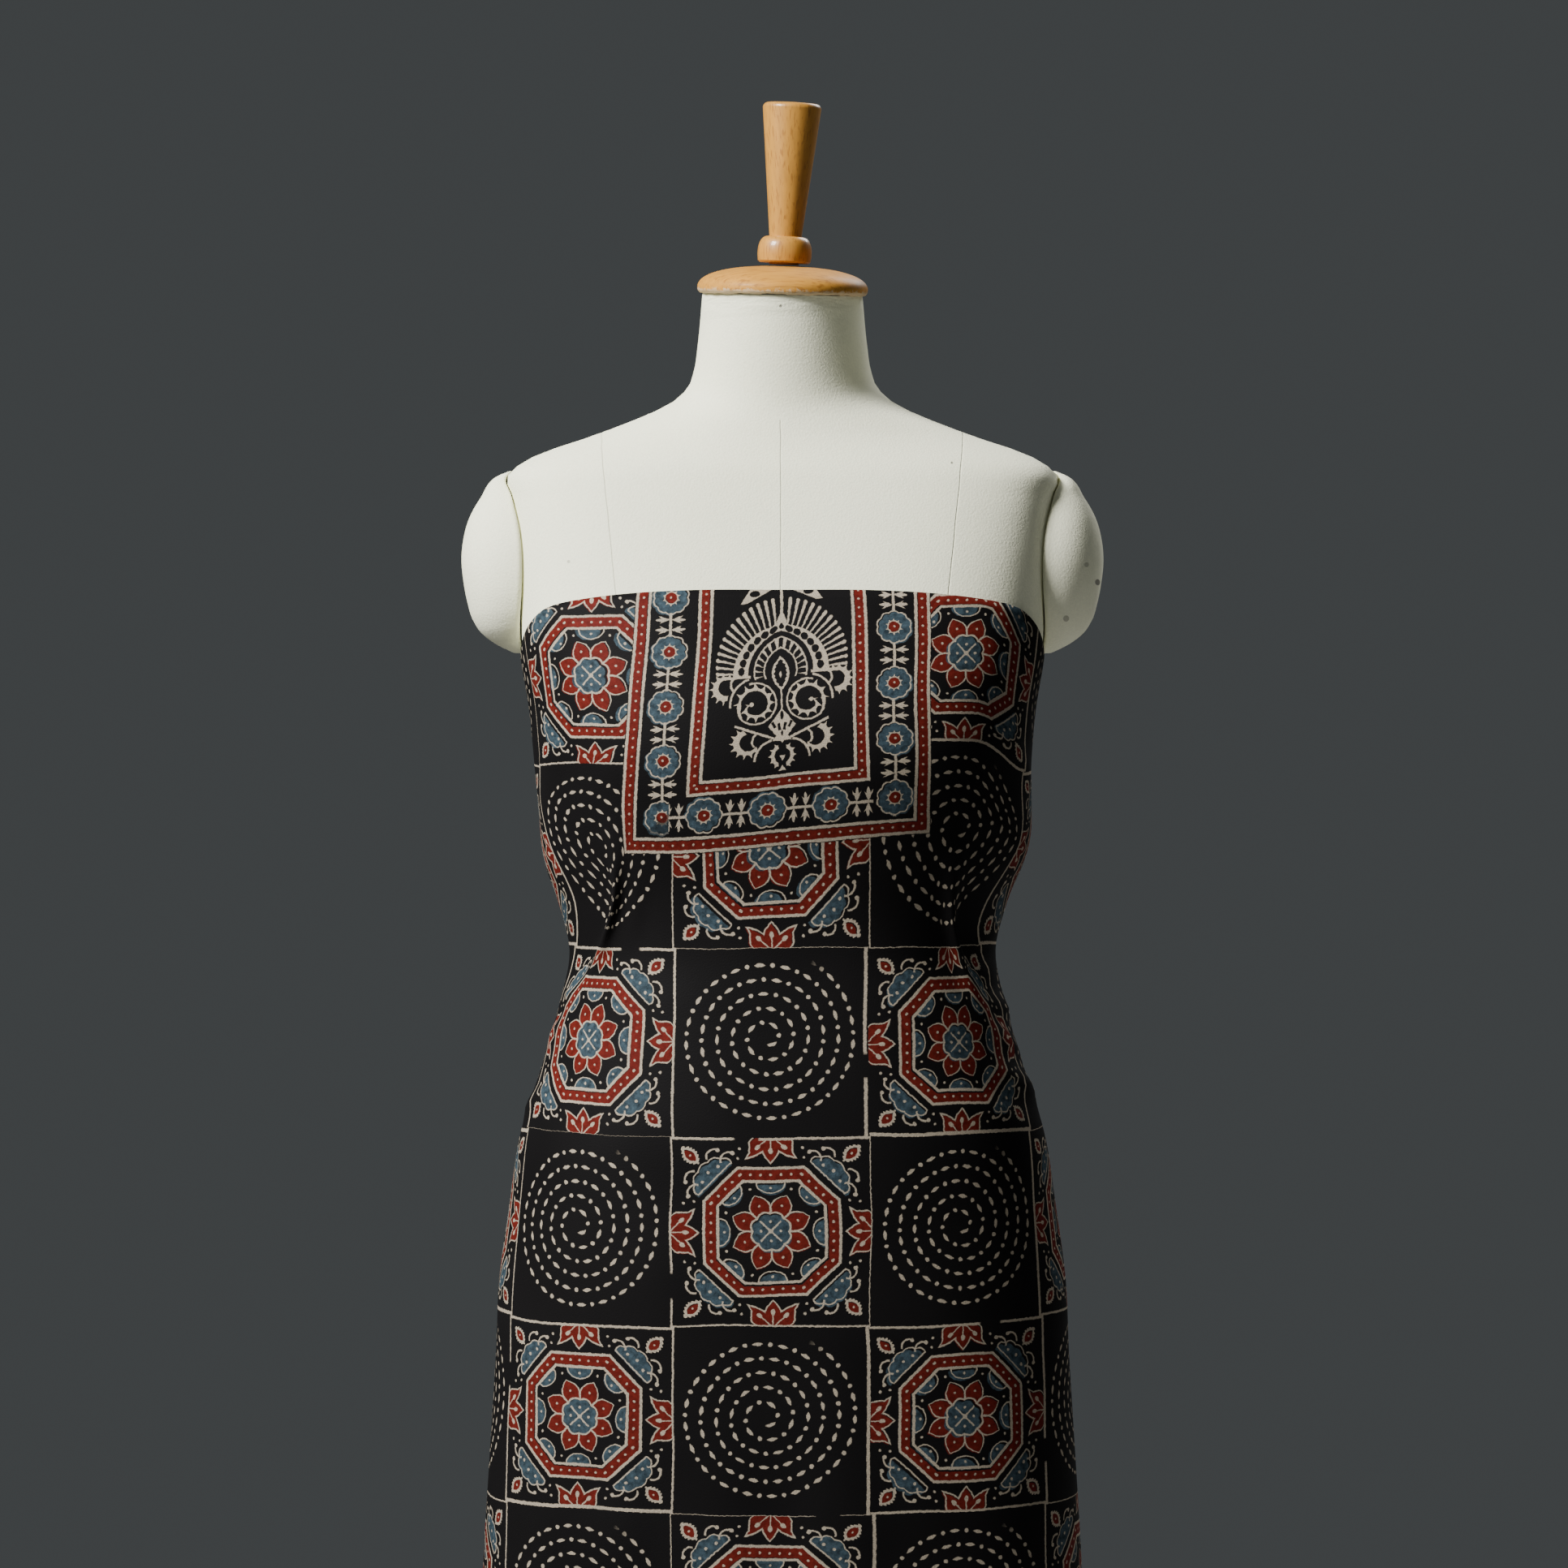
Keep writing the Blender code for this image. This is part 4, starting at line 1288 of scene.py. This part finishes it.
class AddPrintedCloth(bpy.types.Operator):
    """Wrap the printed cloth round the form"""

    bl_idname = "printed_cloth.add_cloth"
    bl_label = "Printed Cloth"

    def execute(self, context):
        settings = context.scene.cloth_settings
        top_height = float(TOP_EDGE[0, 1])
        width = settings.width
        bm = bmesh.new()
        bmesh.ops.create_grid(bm, x_segments=CLOTH_COLUMNS, y_segments=CLOTH_ROWS, size=0.5)
        print_map = bm.loops.layers.uv.new("print")
        bake_map = bm.loops.layers.uv.new("OFBake")
        flat = {}
        for vert in bm.verts:
            distance = vert.co.x * width
            level = settings.hem_height + (vert.co.y + 0.5) * (top_height - settings.hem_height)
            spread = (vert.co.x + 0.5, vert.co.y + 0.5)
            vert.co = cloth_point(distance, level, width, top_height)
            flat[vert] = (print_place(distance, vert.co.z), spread)
        for face in bm.faces:
            for loop in face.loops:
                loop[print_map].uv, loop[bake_map].uv = flat[loop.vert]
            places = [flat[vert][0] for vert in face.verts]
            face.material_index = int(all(abs(u) < YOKE_REACH and v > YOKE_FROM for u, v in places))
        field = printed_material("Printed Cloth", settings, False)
        cloth = finish_piece("printed_cloth", bm, field, "ajrakh_cloth")
        cloth.data.materials.append(printed_material("Printed Cloth Yoke", settings, True))
        wall = cloth.modifiers.new("Thickness", "SOLIDIFY")
        wall.thickness = settings.thickness
        wall.offset = 0.0
        return {"FINISHED"}


class AddCanvasForm(bpy.types.Operator):
    """Model the canvas body with its shoulders and neck"""

    bl_idname = "printed_cloth.add_form"
    bl_label = "Canvas Form"

    def execute(self, context):
        foot = float(FORM_SECTIONS[0, 0])
        top = float(FORM_SECTIONS[-1, 0])
        rows = round((top - foot) / FORM_ROW_STEP)
        bm = bmesh.new()
        bmesh.ops.create_grid(bm, x_segments=FORM_COLUMNS, y_segments=rows, size=0.5)
        for vert in bm.verts:
            height = foot + (vert.co.y + 0.5) * (top - foot)
            total = outline(FORM_SECTIONS, height)[3]
            x, y = point_round(FORM_SECTIONS, height, (vert.co.x % 1.0 - 0.5) * total)
            vert.co = (x, y, height + tip(height, x, y))
        bmesh.ops.remove_doubles(bm, verts=bm.verts, dist=1e-5)
        bmesh.ops.holes_fill(bm, edges=[edge for edge in bm.edges if edge.is_boundary], sides=0)
        bmesh.ops.recalc_face_normals(bm, faces=bm.faces)
        canvas = canvas_material(context.scene.form_settings)
        form = finish_piece("canvas_form", bm, canvas, "form_torso")
        form.data.set_sharp_from_angle(angle=math.radians(50))
        return {"FINISHED"}


class AddArmPads(bpy.types.Operator):
    """Model the two stuffed pads on the armholes"""

    bl_idname = "printed_cloth.add_pads"
    bl_label = "Arm Pads"

    def execute(self, context):
        canvas = bpy.data.materials["Form Canvas"]
        for name, node, side in (("pad_left", "arm_pad_left", -1), ("pad_right", "arm_pad_right", 1)):
            pad = finish_piece(name, pad_mesh(side), canvas, node)
        return {"FINISHED"}


def pad_mesh(side):
    """A domed pad whose inner face follows the form: a grid wrapped round it and closed at both ends."""
    foot = float(PAD_SECTIONS[0, 0])
    top = float(PAD_SECTIONS[-1, 0])
    bm = bmesh.new()
    bmesh.ops.create_grid(bm, x_segments=PAD_STEPS, y_segments=PAD_ROWS, size=0.5)
    for vert in bm.verts:
        up = (1 - math.cos(math.pi * (vert.co.y + 0.5))) / 2
        height = foot + up * (top - foot)
        bulge = float(smooth_column(PAD_SECTIONS, 1, height))
        half_depth = float(smooth_column(PAD_SECTIONS, 2, height))
        round_it = (vert.co.x + 0.5) % 1.0 * 4.0 / 3.0
        if round_it <= 1.0:
            across = -math.cos(math.pi * round_it)
            dome = max(0.0, 1 - abs(across) ** PAD_SQUARENESS) ** (1 / PAD_SQUARENESS)
            stand = PAD_GAP + PAD_EDGE + bulge * dome
        else:
            across = 1 - 2 * (round_it - 1.0) * 3.0
            stand = PAD_GAP
        y = PAD_CENTRE_Y + half_depth * across
        vert.co = (side * (form_side(height, y) + stand), y, height)
    bmesh.ops.remove_doubles(bm, verts=bm.verts, dist=1e-5)
    bmesh.ops.holes_fill(bm, edges=[edge for edge in bm.edges if edge.is_boundary], sides=0)
    bmesh.ops.recalc_face_normals(bm, faces=bm.faces)
    return bm


class AddNeckCap(bpy.types.Operator):
    """Turn the domed neck cap with its rough lower edge"""

    bl_idname = "printed_cloth.add_cap"
    bl_label = "Neck Cap"

    def execute(self, context):
        rim = arc((CAP_RADIUS - CAP_RIM / 2, CAP_RIM / 2), (CAP_RIM / 2, CAP_RIM / 2), -90, 0, 8)
        dome = squared_arc((0.0, CAP_RIM / 2), (CAP_RADIUS, CAP_HEIGHT - CAP_RIM / 2), CAP_SQUARENESS, 28)
        bm = turned_mesh([(0.0, 0.0)] + rim + dome[1:], 180)
        for vert in bm.verts:
            low_share = eased(1 - vert.co.z / CAP_RIM)
            if math.hypot(vert.co.x, vert.co.y) > CAP_RADIUS * 0.9 and low_share:
                ragged = noise_field.noise(vert.co * 140) + 0.5 * noise_field.noise(vert.co * 420)
                vert.co.z += CAP_RAGGED * ragged * low_share
                vert.co.xy *= 1 + 0.010 * ragged * low_share
        set_down(bm, CAP_PLACE, CAP_PITCH_DEG, CAP_ROLL_DEG)
        beech = beech_material(context.scene.form_settings, "Beech Cap", (22.0, 260.0, 260.0), 0.03, True)
        finish_piece("beech_cap", bm, beech, "neck_cap")
        return {"FINISHED"}


class AddHandle(bpy.types.Operator):
    """Turn the handle with its collar"""

    bl_idname = "printed_cloth.add_handle"
    bl_label = "Handle"

    def execute(self, context):
        foot = SPINDLE_GAP
        swell = foot + COLLAR_HEIGHT * 0.28
        radii = (COLLAR_RADIUS - GRIP_FOOT_RADIUS, COLLAR_HEIGHT * 0.72)
        collar = squared_arc((GRIP_FOOT_RADIUS, swell), radii, 2.5, 16)
        centre = (GRIP_TOP_RADIUS - GRIP_EDGE, HANDLE_LENGTH - GRIP_EDGE)
        top_edge = arc(centre, (GRIP_EDGE, GRIP_EDGE), 0, 90, 8)
        profile = [(0.0, 0.0), (SPINDLE_RADIUS, 0.0), (SPINDLE_RADIUS, foot)]
        profile += [(COLLAR_RADIUS - 0.0016, foot), (COLLAR_RADIUS - 0.0005, foot + 0.0011)]
        profile += collar + top_edge + [(0.0, HANDLE_LENGTH)]
        bm = turned_mesh(profile)
        set_down(bm, HANDLE_PLACE, HANDLE_PITCH_DEG, HANDLE_ROLL_DEG)
        beech = beech_material(context.scene.form_settings, "Beech Handle", (320.0, 320.0, 26.0))
        handle = finish_piece("beech_handle", bm, beech, "handle")
        handle.data.set_sharp_from_angle(angle=math.radians(35))
        return {"FINISHED"}


class AddStand(bpy.types.Operator):
    """Turn the round base and the pole"""

    bl_idname = "printed_cloth.add_stand"
    bl_label = "Stand"

    def execute(self, context):
        settings = context.scene.form_settings
        lower = arc((BASE_RADIUS - BASE_EDGE, BASE_EDGE), (BASE_EDGE, BASE_EDGE), -90, 0, 8)
        upper_edge = BASE_THICKNESS * 0.72
        upper = arc((BASE_RADIUS - BASE_EDGE, upper_edge - BASE_EDGE), (BASE_EDGE, BASE_EDGE), 0, 80, 8)
        top = [(BASE_SHOULDER_RADIUS, upper_edge), (SEAT_RADIUS, BASE_THICKNESS), (0.0, BASE_THICKNESS)]
        bm = turned_mesh([(0.0, 0.0)] + lower + upper + top, 128)
        beech = beech_material(settings, "Beech Base", (14.0, 190.0, 190.0))
        base = finish_piece("beech_base", bm, beech, "stand_base")
        base.data.set_sharp_from_angle(angle=math.radians(35))
        length = POLE_TOP - POLE_FOOT
        profile = [
            (0.0, 0.0),
            (BOSS_RADIUS, 0.0),
            (BOSS_RADIUS, BOSS_HEIGHT),
            (POLE_RADIUS, BOSS_HEIGHT * 2),
            (POLE_RADIUS, length - PLATE_NECK * 2),
            (POLE_RADIUS * 1.5, length - PLATE_THICKNESS),
            (PLATE_RADIUS, length - PLATE_THICKNESS),
            (PLATE_RADIUS, length),
            (0.0, length),
        ]
        bm = turned_mesh(profile)
        set_down(bm, (0.0, 0.0, POLE_FOOT))
        pole = finish_piece("steel_pole", bm, steel_material(settings), "stand_pole")
        pole.data.set_sharp_from_angle(angle=math.radians(35))
        return {"FINISHED"}


class AddStage(bpy.types.Operator):
    """Set the floor, the soft lights and the camera"""

    bl_idname = "printed_cloth.add_stage"
    bl_label = "Stage"

    def execute(self, context):
        settings = context.scene.stage_settings
        bm = bmesh.new()
        bmesh.ops.create_circle(bm, cap_ends=True, segments=128, radius=FLOOR_RADIUS)
        mesh = bpy.data.meshes.new("floor")
        bm.to_mesh(mesh)
        bm.free()
        floor = bpy.data.objects.new("floor", mesh)
        context.scene.collection.objects.link(floor)
        made, tree, shader = new_material("Pale Floor", 0.8, 0.2)
        coordinates = tree.nodes.new("ShaderNodeTexCoord")
        mottle, _ = noise(tree, coordinates.outputs["Object"], 3.0, 2.0)
        shade = mix_colour(tree, mottle, scaled(settings.floor, 0.97), scaled(settings.floor, 1.03))
        tree.links.new(shade, shader.inputs["Base Color"])
        mesh.materials.append(made)
        # Lights: name, power, size, spread in degrees, place, what it faces
        lights = (
            ("key", settings.key_power, 0.95, 70, (-2.05, -1.48, 3.15), (0.0, 0.0, 1.15)),
            ("fill", settings.fill_power, 2.4, 180, (1.6, -3.2, 1.5), (0.0, 0.0, 1.0)),
            ("back", settings.back_power, 1.4, 180, (1.5, 2.5, 3.6), (0.0, 0.0, 1.0)),
        )
        for name, power, size, spread, place, target in lights:
            lamp = bpy.data.lights.new(name, "AREA")
            lamp.energy = power
            lamp.size = size
            lamp.spread = math.radians(spread)
            lamp_object = bpy.data.objects.new(name, lamp)
            lamp_object.location = place
            way = Vector(target) - Vector(place)
            lamp_object.rotation_euler = way.to_track_quat("-Z", "Y").to_euler()
            context.scene.collection.objects.link(lamp_object)
        world = bpy.data.worlds.new("Studio")
        world.use_nodes = True
        world.node_tree.nodes["Background"].inputs["Color"].default_value = (*settings.surround, 1.0)
        context.scene.world = world
        camera = bpy.data.cameras.new("camera")
        camera.lens = CAMERA_LENS_MM
        camera_object = bpy.data.objects.new("camera", camera)
        camera_object.location = (CAMERA_X, -CAMERA_DISTANCE, CAMERA_HEIGHT)
        camera_object.rotation_euler = (math.pi / 2, 0.0, 0.0)
        context.scene.collection.objects.link(camera_object)
        context.scene.camera = camera_object
        return {"FINISHED"}


class PrintedClothPanel(bpy.types.Panel):
    """Lists the pieces and their settings"""

    bl_idname = "VIEW3D_PT_printed_cloth"
    bl_label = "Printed Cloth"
    bl_space_type = "VIEW_3D"
    bl_region_type = "UI"
    bl_category = "Printed Cloth"

    def draw(self, context):
        for operator in OPERATORS:
            self.layout.operator(operator.bl_idname)
        for group in ("cloth_settings", "form_settings", "stage_settings"):
            settings = getattr(context.scene, group)
            for name in settings.__annotations__:
                self.layout.prop(settings, name)


SETTINGS = (ClothSettings, FormSettings, StageSettings)
OPERATORS = (AddStage, AddCanvasForm, AddArmPads, AddNeckCap, AddHandle, AddStand, AddPrintedCloth)


def register():
    for part in SETTINGS + OPERATORS + (PrintedClothPanel,):
        bpy.utils.register_class(part)
    bpy.types.Scene.cloth_settings = PointerProperty(type=ClothSettings)
    bpy.types.Scene.form_settings = PointerProperty(type=FormSettings)
    bpy.types.Scene.stage_settings = PointerProperty(type=StageSettings)


def unregister():
    del bpy.types.Scene.stage_settings
    del bpy.types.Scene.form_settings
    del bpy.types.Scene.cloth_settings
    for part in reversed(SETTINGS + OPERATORS + (PrintedClothPanel,)):
        bpy.utils.unregister_class(part)


def main():
    register()
    bpy.ops.printed_cloth.add_stage()
    bpy.ops.printed_cloth.add_form()
    bpy.ops.printed_cloth.add_pads()
    bpy.ops.printed_cloth.add_cap()
    bpy.ops.printed_cloth.add_handle()
    bpy.ops.printed_cloth.add_stand()
    bpy.ops.printed_cloth.add_cloth()


if __name__ == "__main__":
    main()
